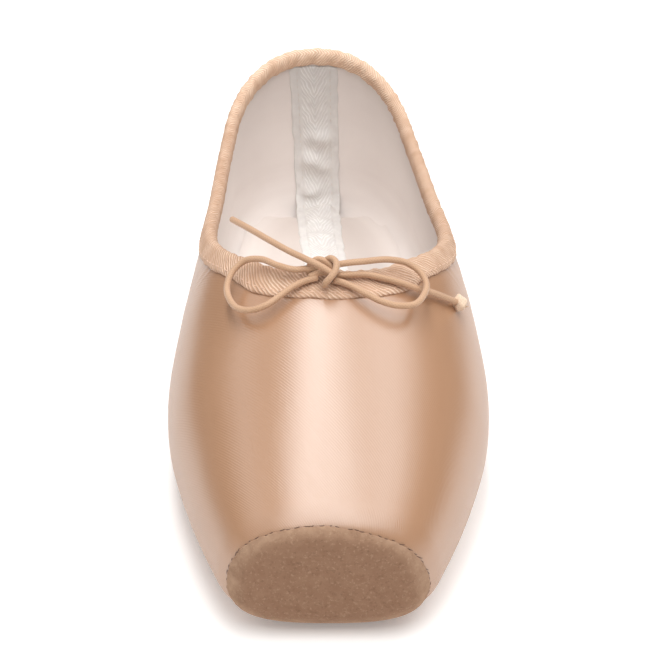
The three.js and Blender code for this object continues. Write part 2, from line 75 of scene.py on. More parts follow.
def linear(hex_color: str) -> tuple[float, float, float, float]:
    """Turns an sRGB hex colour into a linear one.

    Args:
        hex_color: The colour as "#rrggbb".

    Returns:
        Linear red, green and blue, and an alpha of 1.
    """
    channels = [int(hex_color[i : i + 2], 16) / 255 for i in (1, 3, 5)]
    red, green, blue = [c / 12.92 if c <= 0.04045 else ((c + 0.055) / 1.055) ** 2.4 for c in channels]
    return red, green, blue, 1.0


def smoothstep(values: Array, low: float, high: float) -> Array:
    """Rises from 0 at low to 1 at high and is level at both, as 3t^2 - 2t^3."""
    share = np.clip((values - low) / (high - low), 0.0, 1.0)
    return share * share * (3.0 - 2.0 * share)


def bell(values: Array, middle: float, width: float) -> Array:
    """A soft hump of height 1 round a middle: the exponential of minus the square of the distance."""
    return np.exp(-(((values - middle) / width) ** 2))


def unit(vectors: Array) -> Array:
    """Scales vectors along the last axis to length 1."""
    return vectors / np.maximum(np.linalg.norm(vectors, axis=-1, keepdims=True), SMALL)


def smooth_curve(xs: Sequence[float], ys: Sequence[float], ends: Pair | None = None) -> Curve:
    """A curve through a table's points, in cubic pieces.

    The slope at each point is the weighted mean of the slopes on its two sides.

    Args:
        xs: Rising places of the points.
        ys: Their values.
        ends: The slopes at the two ends, or None to go on as the table does.

    Returns:
        A function from places to values, level outside the table.
    """
    places, values = np.asarray(xs, float), np.asarray(ys, float)
    steps = np.diff(places)
    rises = np.diff(values) / steps
    slopes = np.concatenate((rises[:1], rises[1:], rises[-1:]))
    slopes[1:-1] = (rises[:-1] * steps[1:] + rises[1:] * steps[:-1]) / (steps[:-1] + steps[1:])
    if ends is not None:
        slopes[0], slopes[-1] = ends

    def curve(wanted: Array) -> Array:
        """Values of the cubic pieces.

        Args:
            wanted: Places.

        Returns:
            Values there.
        """
        x = np.clip(wanted, places[0], places[-1])
        i = np.clip(np.searchsorted(places, x, side="right") - 1, 0, len(steps) - 1)
        t = (x - places[i]) / steps[i]
        rest = 1.0 - t
        start = rest * rest * ((1.0 + 2.0 * t) * values[i] + t * steps[i] * slopes[i])
        return start + t * t * ((3.0 - 2.0 * t) * values[i + 1] - rest * steps[i] * slopes[i + 1])

    return curve


class Waves(NamedTuple):
    """A wandering line: its height, the seed of its waves, and its shortest and longest wave in mm."""

    height: float
    seed: int
    shortest: float
    longest: float

    def at(self, values: Array, period: float = 0.0) -> Array:
        """The sum of five sines of seeded lengths and phases.

        Args:
            values: Places along the line, in mm.
            period: If given, the line closes on itself after this length.

        Returns:
            The line's height at each place.
        """
        rng = np.random.default_rng(self.seed)
        lengths = np.geomspace(self.shortest, self.longest, 5) * rng.uniform(0.85, 1.15, 5)
        if period:
            lengths = period / np.round(period / lengths)
        phases = rng.uniform(0.0, FULL_TURN, 5)
        waves = np.sin(np.asarray(values)[..., None] * (FULL_TURN / lengths) + phases)
        return self.height * waves.sum(axis=-1) / 3.0


def between(ends: Sequence, share: Array) -> Array:
    """Goes from the first of two values to the second by a share."""
    return ends[0] + (ends[1] - ends[0]) * share


def rounding(distance: Array, radius: float) -> Array:
    """Rises from 0 at an edge to 1 a radius inside it, as a quarter circle does."""
    return np.sqrt(1.0 - (1.0 - np.clip(distance / radius, 0.0, 1.0)) ** 2)


def distances(points: Array) -> Array:
    """Length along lines of points (..., n, k), from the first point of each."""
    steps = np.linalg.norm(np.diff(points, axis=-2), axis=-1)
    return np.concatenate((np.zeros_like(steps[..., :1]), np.cumsum(steps, axis=-1)), axis=-1)


def even_line(points: Array, count: int) -> Array:
    """A smooth curve through points, by their distance from each other, as evenly spaced points.

    Args:
        points: Points (n, k).
        count: Number of even points.

    Returns:
        Points (count, k).
    """
    along = distances(points)
    even = np.linspace(0.0, along[-1], count)
    return np.stack([smooth_curve(along, column)(even) for column in points.T], axis=-1)


def joined(*ways: Array) -> Array:
    """Joins coordinates into points, or into cloth coordinates, along a new last axis."""
    return np.stack(np.broadcast_arrays(*ways), axis=-1)


def superellipse(share: Array, power: Array) -> Array:
    """Height of a superellipse at a share of its half width, as a share of its own: 2 gives a circle."""
    return (1.0 - share**power) ** (1.0 / power)


def circle(across: Array, upward: Array, turn: Array) -> Array:
    """Ways out from centres: across times the cosine of the turn plus upward times its sine."""
    return across[..., None, :] * np.cos(turn)[:, None] + upward[..., None, :] * np.sin(turn)[:, None]


# Meshes


class Patch(NamedTuple):
    """A grid of points with its cloth coordinates; leading axes repeat the grid.

    Fields: points (..., rows, columns, 3) in mm, uv (..., rows, columns, 2) in mm of cloth, and the
    index of its finish in the piece's list.
    """

    points: Array
    uv: Array
    finish: int = 0


def welded(points: Array) -> tuple[Array, Array]:
    """Merges points that lie on each other.

    Args:
        points: Points (n, 3).

    Returns:
        The separate points, and for each given point the index of its merged one.
    """
    keys = np.round(points / WELD + 0.1234).astype(np.int64)
    _, first, where = np.unique(keys, axis=0, return_index=True, return_inverse=True)
    return points[first], where.reshape(-1)


def put(name: str, data: bpy.types.ID) -> Piece:
    """Puts a new object at the origin into the scene.

    Args:
        name: Its name.
        data: Its mesh, lamp or lens.

    Returns:
        The object.
    """
    thing = bpy.data.objects.new(name, data)
    bpy.context.scene.collection.objects.link(thing)
    return thing


def make_piece(name: str, patches: Sequence[Patch], finishes: Sequence[bpy.types.Material],
               replaces: Sequence[str] = ()) -> Piece:
    """Joins grids into one mesh whose seams and poles are merged, and puts it on the shoe's body.

    Each grid cell becomes a quad; a quad that has lost a corner in the merging becomes a triangle.

    Args:
        name: The piece's name.
        patches: Its grids.
        finishes: Its materials.
        replaces: CAD nodes that it stands for.

    Returns:
        The new object, at the origin.
    """
    quads, kinds, start = [], [], 0
    for patch in patches:
        index = start + np.arange(patch.points[..., 0].size).reshape(patch.points.shape[:-1])
        corners = (index[..., :-1, :-1], index[..., 1:, :-1], index[..., 1:, 1:], index[..., :-1, 1:])
        quads.append(np.stack(corners, axis=-1).reshape(-1, 4))
        kinds.append(np.full(len(quads[-1]), patch.finish))
        start += index.size
    quad = np.concatenate(quads)
    points, where = welded(np.concatenate([patch.points.reshape(-1, 3) for patch in patches]))
    uv = np.concatenate([np.broadcast_to(p.uv, (*p.points.shape[:-1], 2)).reshape(-1, 2) for p in patches])
    corner = where[quad]
    keep = corner != np.roll(corner, -1, axis=1)
    whole = keep.sum(axis=1) >= 3
    keep &= whole[:, None]
    totals = keep.sum(axis=1)[whole]

    mesh = bpy.data.meshes.new(name)
    mesh.vertices.add(len(points))
    mesh.vertices.foreach_set("co", (points * MM).astype(np.float32).ravel())
    mesh.loops.add(int(keep.sum()))
    mesh.loops.foreach_set("vertex_index", corner[keep].astype(np.int32))
    mesh.polygons.add(len(totals))
    mesh.polygons.foreach_set("loop_start", np.concatenate(((0,), np.cumsum(totals)[:-1])).astype(np.int32))
    mesh.polygons.foreach_set("material_index", np.concatenate(kinds)[whole].astype(np.int32))
    mesh.update(calc_edges=True)
    mesh.uv_layers.new(name=CLOTH_UV).data.foreach_set("uv", uv[quad[keep]].astype(np.float32).ravel())
    mesh.validate()
    mesh.shade_smooth()
    mesh.set_sharp_from_angle(angle=math.radians(CRISP_DEG))
    for finish in finishes:
        mesh.materials.append(finish)

    piece = put(name, mesh)
    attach(piece, BODY)
    if replaces:
        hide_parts(*replaces)
    mesh.calc_loop_triangles()
    LOG.info("%s: %d triangles", name, len(mesh.loop_triangles))
    return piece


def tube(path: Array, radius: float, sides: int, reference: Sequence[float]) -> Patch:
    """A round cord along a line, closed by a rounded tip at both ends.

    Each ring is a circle square to the line; near either end the circle shrinks as a ball's does.

    Args:
        path: Points of the centreline (n, 3) in mm.
        radius: The cord's radius.
        sides: Points round the cord.
        reference: A direction that the line never follows.

    Returns:
        The tube, with the way round as u and the way along as v.
    """
    along = distances(path)
    rings = radius * rounding(np.minimum(along, along[-1] - along), TIP_SHARE * radius)
    ahead = unit(np.gradient(path, axis=0))
    across = unit(np.cross(ahead, np.asarray(reference)))
    turn = np.linspace(0.0, FULL_TURN, sides + 1)
    points = path[:, None] + circle(across, np.cross(across, ahead), turn) * rings[:, None, None]
    return Patch(points, joined(turn * radius, along[:, None]))


# Finishes

# Sockets given in order: a Map Range node's are its value and the stretches that it goes from and to.
# A Mix node's settings for colours; its sockets 0, 6 and 7 are the share, the first and the second colour.
COLOR_MIX = {"out": 2, "data_type": "RGBA"}
MIDDLE = (0.3, 0.7)  # the stretch that holds nearly all values of a Noise texture


def wire(tree: Tree, node: bpy.types.Node, inputs: dict | Sequence) -> None:
    """Sets or links a node's sockets.

    Args:
        tree: The node tree.
        node: The node.
        inputs: Values or other nodes' outputs, by the socket's name or index or in the sockets' order.
    """
    for socket, value in inputs.items() if isinstance(inputs, dict) else enumerate(inputs):
        if isinstance(value, Socket):
            tree.links.new(value, node.inputs[socket])
        else:
            node.inputs[socket].default_value = value


def add_node(tree: Tree, kind: str, inputs: dict | Sequence = (), out: int | str = 0, **settings) -> Socket:
    """Adds one shader node with its settings and links.

    Args:
        tree: The node tree.
        kind: Blender's name of the node, without "ShaderNode".
        inputs: What its sockets are set or linked to.
        out: The wanted output, by name or index.
        settings: The node's own properties.

    Returns:
        The wanted output.
    """
    node = tree.nodes.new("ShaderNode" + kind)
    for key, value in settings.items():
        setattr(node, key, value)
    wire(tree, node, inputs)
    return node.outputs[out]


class Weave(Enum):
    """How a cloth's ribs run."""

    TWILL = "slanting ribs"
    HERRINGBONE = "ribs that turn back in rows"


@dataclass(frozen=True)
class Finish:
    """A finish: its name, its two shades and how rough it is."""

    name: str
    shade: str
    second: str
    roughness: float

    def material(self) -> bpy.types.Material:
        """Makes the material and sets its shader's sockets.

        Returns:
            The new material.
        """
        made = bpy.data.materials.new(self.name)
        made.use_nodes = True
        tree = made.node_tree
        sockets = {"Roughness": self.roughness, **self.sockets(partial(add_node, tree))}
        wire(tree, tree.nodes["Principled BSDF"], sockets)
        return made

    def sockets(self, add: Adder) -> dict:
        """The shader's sockets, by name; each kind of finish has its own."""
        raise NotImplementedError

    def shades(self, share: Socket) -> dict:
        """A Mix node's sockets for going from the first shade to the second."""
        return {0: share, 6: linear(self.shade), 7: linear(self.second)}


@dataclass(frozen=True)
class Cloth(Finish):
    """Woven cloth: ribs at a real spacing, streaks along the threads, fuzz and sheen."""

    weave: Weave = Weave.TWILL
    rib_mm: float = 0.6
    rib_turn_deg: float = 40.0
    rib_depth_mm: float = 0.03
    rib_tint: str = ""  # colour of the ribs' tops, if they are lighter than the cloth
    rib_share: float = 0.0  # how much of that colour they take
    rib_worn: float = 0.3  # how much of that share is left where they are worn
    rib_patch_mm: float = 6.0  # the ribs are clear and worn in patches of this size
    rib_patches: Pair = (0.35, 0.65)  # values of the patches' noise from worn to clear
    rib_top: Pair = (0.45, 0.95)  # heights between which a rib takes its colour
    rib_wobble_mm: float = 0.0  # how far a herringbone's ribs wander along the tape
    row_mm: float = 4.0  # width of one row of a herringbone
    rib_slope: float = 1.0  # how far a herringbone's rib runs along for each mm across
    rib_span_mm: float = 100.0  # a herringbone's ribs end this far from its middle
    rib_end_mm: float = 0.5  # and fade over this length
    streak_mm: Pair = (0.9, 30.0)  # width and length of a streak
    streak_gloss: float = 0.04  # how far the roughness wanders from streak to streak
    fuzz_mm: float = 0.35
    fuzz_depth_mm: float = 0.02
    sheen: float = 0.2
    specular: float = 0.5
    ior: float = 1.5
    edge_gloss: float = 1.0  # share of the gloss that is left at a glancing angle
    edge_span: Pair = (0.45, 0.9)  # from facing the eye to glancing
    heel_light_tint: str = "#ffffff"  # colour of the painted light that pales the cloth towards the heel
    heel_light_share: float = 0.0  # how much of that painted light it takes there, and how much clearer its ribs are
    heel_light_mm: Pair = (65.0, 108.0)  # places along the shoe between which the painted light comes in

    def rib_height(self, add: Adder, uv: Socket) -> Socket:
        """Height of the weave, from 0 to 1.

        A twill is a band pattern turned on the cloth, a herringbone the sine of the way along plus
        the zigzag of the way across.

        Args:
            add: Adds a node to the material.
            uv: The cloth coordinates in mm.

        Returns:
            The height's socket.
        """
        if self.weave is Weave.TWILL:
            turn = (0.0, 0.0, math.radians(self.rib_turn_deg))
            turned = add("Mapping", {"Vector": uv, "Rotation": turn})
            bands = {"Vector": turned, "Scale": WAVE_PERIOD / self.rib_mm, "Distortion": 0.7, "Detail": 1.0,
                     "Detail Scale": 0.6}
            return add("TexWave", bands, "Fac")
        along, across = [add("SeparateXYZ", (uv,), way) for way in ("X", "Y")]
        zigzag = add("Math", (across, self.row_mm), operation="PINGPONG")
        bent = add("TexNoise", {"Vector": uv, "Scale": 0.5 / self.rib_mm, "Detail": 1.0}, "Fac")
        way = add("Math", (bent, self.rib_wobble_mm, along), operation="MULTIPLY_ADD")
        way = add("Math", (zigzag, self.rib_slope, way), operation="MULTIPLY_ADD")
        turn = add("Math", (way, FULL_TURN / self.rib_mm), operation="MULTIPLY")
        sine = add("Math", (turn,), operation="SINE")
        ends = add("MapRange", (zigzag, self.rib_span_mm, self.rib_span_mm - self.rib_end_mm))
        height = add("Math", (sine, ends), operation="MULTIPLY")
        return add("MapRange", (height, -1.0))

    def sockets(self, add: Adder) -> dict:
        """Colours the threads in streaks, paints light towards the heel, lightens the ribs' tops and bumps
        ribs and fuzz.

        Args:
            add: Adds a node to the material.

        Returns:
            The shader's sockets.
        """
        uv = add("TexCoord", out="UV")
        height = self.rib_height(add, uv)
        scale = (1.0 / self.streak_mm[0], 1.0 / self.streak_mm[1], 1.0)
        drawn = add("Mapping", {"Vector": uv, "Scale": scale})
        streaks = add("TexNoise", {"Vector": drawn, "Scale": 1.0, "Detail": 3.0}, "Fac")
        share = add("MapRange", (streaks, *MIDDLE))
        color = add("Mix", self.shades(share), **COLOR_MIX)
        clearest: float | Socket = self.rib_share
        # Painted light: the cloth turns paler and its ribs clearer towards the heel.
        if self.heel_light_share:
            place = add("TexCoord", out="Object")
            back = add("SeparateXYZ", (place,), "Y")
            heel_lit = add("MapRange", (back, self.heel_light_mm[0] * MM, self.heel_light_mm[1] * MM, 0.0, self.heel_light_share))
            color = add("Mix", {0: heel_lit, 6: color, 7: linear(self.heel_light_tint)}, **COLOR_MIX)
            clearest = add("Math", (heel_lit, self.rib_share), operation="ADD")
        if self.rib_tint:
            patches = {"Vector": uv, "Scale": 1.0 / self.rib_patch_mm, "Detail": 2.0}
            patchy = add("TexNoise", patches, "Fac")
            clear = add("MapRange", (patchy, *self.rib_patches, self.rib_worn * self.rib_share, clearest))
            top = add("MapRange", (height, *self.rib_top, 0.0, clear))
            color = add("Mix", {0: top, 6: color, 7: linear(self.rib_tint)}, **COLOR_MIX)
        glossy, matt = self.roughness - self.streak_gloss, self.roughness + self.streak_gloss
        dull = add("MapRange", (streaks, *MIDDLE, glossy, matt))
        fuzz = add("TexNoise", {"Vector": uv, "Scale": 1.0 / self.fuzz_mm, "Detail": 3.0}, "Fac")
        normal = add("Bump", {"Height": fuzz, "Strength": 1.0, "Distance": self.fuzz_depth_mm * MM})
        ribs = {"Height": height, "Strength": 1.0, "Distance": self.rib_depth_mm * MM, "Normal": normal}
        normal = add("Bump", ribs)
        gloss: float | Socket = self.specular
        if self.edge_gloss < 1.0:
            facing = add("LayerWeight", {"Blend": 0.5}, "Facing")
            gloss = add("MapRange", (facing, *self.edge_span, self.specular, self.specular * self.edge_gloss))
        return {"Base Color": color, "Roughness": dull, "Normal": normal, "Specular IOR Level": gloss,
                "IOR": self.ior, "Sheen Weight": self.sheen, "Sheen Roughness": 0.4,
                "Sheen Tint": linear(self.second)}


class Fibre(NamedTuple):
    """Specks of fibre in a nap: their shade, a shift of their pattern, and where in its values they begin."""

    shade: str
    shift: float
    least: float


@dataclass(frozen=True)
class Suede(Finish):
    """Split leather brushed to a nap: no gloss, short fibres, light and dark specks."""

    light: Fibre = Fibre("#b99a80", 0.0, 0.55)
    dark: Fibre = Fibre("#5d4334", 3.7, 0.56)
    fibre_mm: float = 0.22
    speck_mm: float = 0.7
    speck_soft: float = 0.14  # how slowly a speck begins
    speck_share: float = 0.35
    shading_mm: float = 3.2
    nap_depth_mm: float = 0.12
    lit_rim_mm: Pair = (-118.1, -115.6)  # painted highlight: the rounding is painted lighter between these
    # Most and least share of the painted highlight on the rounding, set by the brushed shading's patches
    lit_rim_share: float = 0.6
    lit_rim_least: float = 0.18

    def sockets(self, add: Adder) -> dict:
        """Mixes brushed shading, specks of light and dark fibre and a painted highlight over the rounding, and
        bumps the nap.

        Args:
            add: Adds a node to the material.

        Returns:
            The shader's sockets.
        """
        place = add("TexCoord", out="Object")
        fine = {"Vector": place, "Scale": 1.0 / (self.fibre_mm * MM), "Detail": 4.0, "Roughness": 0.7}
        nap = add("TexNoise", fine, "Fac")
        broad = {"Vector": place, "Scale": 1.0 / (self.shading_mm * MM), "Detail": 3.0, "Distortion": 0.6}
        shading = add("TexNoise", broad, "Fac")
        color = add("Mix", self.shades(shading), **COLOR_MIX)
        for fibre in (self.light, self.dark):
            moved = add("Mapping", {"Vector": place, "Location": (fibre.shift, 0.0, fibre.shift)})
            grain = {"Vector": moved, "Scale": 1.0 / (self.speck_mm * MM), "Detail": 3.0, "Roughness": 0.65}
            specks = add("TexNoise", grain, "Fac")
            most = fibre.least + self.speck_soft
            share = add("MapRange", (specks, fibre.least, most, 0.0, self.speck_share))
            color = add("Mix", {0: share, 6: color, 7: linear(fibre.shade)}, **COLOR_MIX)
        # Painted highlight: the rounding over the platform's rim is painted in the light fibre's shade, patchy
        # with the brushed shading.
        depth = add("SeparateXYZ", (place,), "Y")
        brushed = add("MapRange", (shading, *MIDDLE, self.lit_rim_least, self.lit_rim_share))
        rim = (depth, self.lit_rim_mm[0] * MM, self.lit_rim_mm[1] * MM, 0.0, brushed)
        raised = add("MapRange", rim, interpolation_type="SMOOTHSTEP")
        color = add("Mix", {0: raised, 6: color, 7: linear(self.light.shade)}, **COLOR_MIX)
        bump = add("Bump", {"Height": nap, "Strength": 1.0, "Distance": self.nap_depth_mm * MM})
        return {"Base Color": color, "Normal": bump, "Specular IOR Level": 0.2, "Sheen Weight": 0.3,
                "Sheen Roughness": 0.5, "Sheen Tint": linear(self.light.shade)}


@dataclass(frozen=True)
class CoveredBoard(Finish):
    """Cotton glued over board: a little greyer than the lining, and painted darker towards its middle as
    painted shade.

    Its UV map holds the place across and the distance from the edge, in mm.
    """

    shade_fade_mm: float = 11.0
    fuzz_mm: float = 0.5
    fuzz_depth_mm: float = 0.03

    def sockets(self, add: Adder) -> dict:
        """Fades from the edge's shade to the middle's darker painted shade and bumps the fuzz.

        Args:
            add: Adds a node to the material.

        Returns:
            The shader's sockets.
        """
        uv, place = [add("TexCoord", out=way) for way in ("UV", "Object")]
        from_edge = add("SeparateXYZ", (uv,), "Y")
        # Painted shade: darker from the edge towards the middle.
        share = add("MapRange", (from_edge, 0.0, self.shade_fade_mm), interpolation_type="SMOOTHSTEP")
        color = add("Mix", self.shades(share), **COLOR_MIX)
        fuzz = {"Vector": place, "Scale": 1.0 / (self.fuzz_mm * MM), "Detail": 3.0}
        height = add("TexNoise", fuzz, "Fac")
        bump = add("Bump", {"Height": height, "Strength": 1.0, "Distance": self.fuzz_depth_mm * MM})
        return {"Base Color": color, "Normal": bump, "Specular IOR Level": 0.25}


@dataclass(frozen=True)
class SoleLeather(Finish):
    """Vegetable-tanned sole leather: cut cells of grain, cloudy colour, scuffs, a dull gloss."""

    scuff: str = "#e0c3a4"
    scuff_per_m: Triple = (1200.0, 90.0, 400.0)  # close across and long along the shoe
    scuff_span: Pair = (0.58, 0.75)  # values of the scuffs' noise from none to whole
    scuff_share: float = 0.6
    grain_mm: float = 1.0  # drawn about twice as coarse as the real grain, so that it shows
    grain_edge: float = 0.2  # a cell's rounding, as a share of its size
    cloud_mm: float = 18.0
    grain_depth_mm: float = 0.06
    gloss: Pair = (-0.1, 0.15)  # how far the roughness wanders with the clouds

    def sockets(self, add: Adder) -> dict:
        """Mixes clouds and long scuffs and bumps the cells of the grain.

        Args:
            add: Adds a node to the material.

        Returns:
            The shader's sockets.
        """
        place = add("TexCoord", out="Object")
        cloudy = {"Vector": place, "Scale": 1.0 / (self.cloud_mm * MM), "Detail": 5.0, "Roughness": 0.6}
        clouds = add("TexNoise", cloudy, "Fac")
        color = add("Mix", self.shades(clouds), **COLOR_MIX)
        drawn = add("Mapping", {"Vector": place, "Scale": self.scuff_per_m})
        marks = add("TexNoise", {"Vector": drawn, "Scale": 1.0, "Detail": 4.0}, "Fac")
        worn = add("MapRange", (marks, *self.scuff_span, 0.0, self.scuff_share))
        color = add("Mix", {0: worn, 6: color, 7: linear(self.scuff)}, **COLOR_MIX)
        grain = {"Vector": place, "Scale": 1.0 / (self.grain_mm * MM)}
        cells = add("TexVoronoi", grain, "Distance", feature="DISTANCE_TO_EDGE")
        level = add("MapRange", (cells, 0.0, self.grain_edge))
        bump = add("Bump", {"Height": level, "Strength": 0.6, "Distance": self.grain_depth_mm * MM})
        rough = add("MapRange", (clouds, 0.0, 1.0, *[self.roughness + change for change in self.gloss]))
        return {"Base Color": color, "Normal": bump, "Roughness": rough}


@dataclass(frozen=True)
class Braid(Finish):
    """Braided elastic cord: two crossing sets of fine strands over a soft round core."""

    strand_mm: float = 0.8  # drawn coarser than the real 0.4 mm, so that it shows
    strand_depth_mm: float = 0.03
    wear_mm: float = 4.0
    # Colour of the painted shade in the gaps between the strands
    gap: str = "#6b4a34"
    gap_shade_span: Pair = (0.3, -0.6)  # from a strand's side down to the bottom of a gap, over which the painted shade comes in
    gap_shade_share: float = 0.15

    def sockets(self, add: Adder) -> dict:
        """Bumps the higher of two slanting sines and paints shade into the gaps between the strands.

        Args:
            add: Adds a node to the material.

        Returns:
            The shader's sockets.
        """
        uv, place = [add("TexCoord", out=way) for way in ("UV", "Object")]
        across, along = [add("SeparateXYZ", (uv,), way) for way in ("X", "Y")]
        slants = []
        for operation in ("ADD", "SUBTRACT"):
            way = add("Math", (across, along), operation=operation)
            turn = add("Math", (way, FULL_TURN / self.strand_mm), operation="MULTIPLY")
            slants.append(add("Math", (turn,), operation="SINE"))
        over = add("Math", slants, operation="MAXIMUM")
        wear = {"Vector": place, "Scale": 1.0 / (self.wear_mm * MM), "Detail": 3.0}
        color = add("Mix", self.shades(add("TexNoise", wear, "Fac")), **COLOR_MIX)
        # Painted shade: the gaps between the strands are darkened.
        gaps = add("MapRange", (over, *self.gap_shade_span, 0.0, self.gap_shade_share))
        darker = {0: gaps, 6: color, 7: linear(self.gap)}
        color = add("Mix", darker, blend_type="MULTIPLY", **COLOR_MIX)
        bump = add("Bump", {"Height": over, "Strength": 0.7, "Distance": self.strand_depth_mm * MM})
        return {"Base Color": color, "Normal": bump, "Sheen Weight": 0.25, "Sheen Roughness": 0.45}


@dataclass(frozen=True)
class Thread(Finish):
    """Twisted sewing thread: slanting plies and a faint gloss."""

    ply_mm: float = 0.3
    ply_turn_deg: float = 35.0

    def sockets(self, add: Adder) -> dict:
        """Bands the thread by its plies.

        Args:
            add: Adds a node to the material.

        Returns:
            The shader's sockets.
        """
        uv = add("TexCoord", out="UV")
        turn = (0.0, 0.0, math.radians(self.ply_turn_deg))
        turned = add("Mapping", {"Vector": uv, "Rotation": turn})
        plies = add("TexWave", {"Vector": turned, "Scale": WAVE_PERIOD / self.ply_mm}, "Fac")
        return {"Base Color": add("Mix", self.shades(plies), **COLOR_MIX), "Sheen Weight": 0.2}


@dataclass(frozen=True)
class Paint(Finish):
    """Matt paint with a faint glow of its second shade."""

    glow: float = 0.2

    def sockets(self, add: Adder) -> dict:
        """Plain colour and glow."""
        return {"Base Color": linear(self.shade), "Emission Color": linear(self.second),
                "Emission Strength": self.glow}


# Satin: warp-faced weave of bright filament, so a soft band of gloss follows each rounding.
SATIN = Cloth("peach_satin", "#aa8061", "#ad8364", 0.3, Weave.TWILL, rib_mm=0.6, rib_turn_deg=-40.0,
              rib_depth_mm=0.019, streak_mm=(7.0, 60.0), streak_gloss=0.004, fuzz_mm=0.3, fuzz_depth_mm=0.003,
              sheen=0.0, specular=1.0, ior=1.6, edge_gloss=0.2)
# Lining: bleached cotton drill, matt and slightly pink.
LINING = Cloth("cotton_drill_lining", "#e9e0db", "#eee6e1", 0.9, Weave.TWILL, rib_mm=0.7, rib_turn_deg=45.0,
               rib_depth_mm=0.006, streak_mm=(9.0, 40.0), sheen=0.1, specular=0.25, fuzz_depth_mm=0.02)
# Binding: cotton herringbone tape, light ribs on a duller ground that turn back at the fold, with painted
# light that pales it towards the heel.
BINDING_TWILL = Cloth("herringbone_binding_tape", "#c0987c", "#caa489", 0.75, Weave.HERRINGBONE, rib_mm=1.05,
                      rib_depth_mm=0.14, rib_tint="#fde6cf", rib_share=0.62, rib_wobble_mm=0.8, row_mm=14.0,
                      streak_mm=(3.0, 3.0), sheen=0.2, specular=0.35, fuzz_depth_mm=0.05,
                      heel_light_tint="#f6d0b2", heel_light_share=0.55)
# Heel tape: the same weave in unbleached white, its ribs turned back along its middle.
TAPE_COTTON = Cloth("white_herringbone_tape", "#d9d5d2", "#e1deda", 0.85, Weave.HERRINGBONE, rib_mm=2.2,
                    rib_depth_mm=0.1, rib_tint="#fdfcfb", rib_share=0.6, rib_wobble_mm=4.0, row_mm=14.0,
                    rib_slope=2.0, rib_span_mm=4.4, streak_mm=(3.0, 3.0), sheen=0.1, specular=0.3,
                    fuzz_depth_mm=0.06)
# Insole: the lining's cotton glued over board, with painted shade towards its middle.
INSOLE_COTTON = CoveredBoard("cotton_covered_board", "#e6ddd7", "#d3c8c1", 0.9)
# Suede: brushed split leather, quite without gloss.
TIP_SUEDE = Suede("brushed_suede", "#7f5f4a", "#98765f", 0.97)
# Sole leather: flat, rolled hard, with a dull gloss where it is worn.
SOLE = SoleLeather("sole_leather", "#b48a68", "#c69f7c", 0.55)
# Cord: matt braided elastic in tan, and its paler frayed end.
CORD = Braid("braided_elastic_cord", "#bd9675", "#caa485", 0.65)
FRAY = Braid("frayed_elastic", "#e2c5a8", "#ecd6bf", 0.8)
# Thread in three colours.
PEACH_THREAD = Thread("peach_thread", "#d9ae90", "#e8c8b0", 0.55)
BROWN_THREAD = Thread("brown_thread", "#5a4132", "#775947", 0.7)
WHITE_THREAD = Thread("white_thread", "#d5cbc3", "#e6dfd8", 0.6)
# Floor: plain and pale, so that only a soft shadow shows on it.
FLOOR_PAINT = Paint("pale_floor", "#f6f5f4", "#ffffff", 0.9)


# The form of the foot that every piece is drawn on


class LastRow(NamedTuple):
    """One section of the last: shares of the driving sizes, heights in mm, and roundness exponents."""

    along: float
    width: float
    top: float
    side: float
    floor: float
    above: float
    below: float


class Section(NamedTuple):
    """Sizes of the last's section at each station."""

    half_width: Array
    side: Array
    up: Array
    down: Array
    above: Array
    below: Array


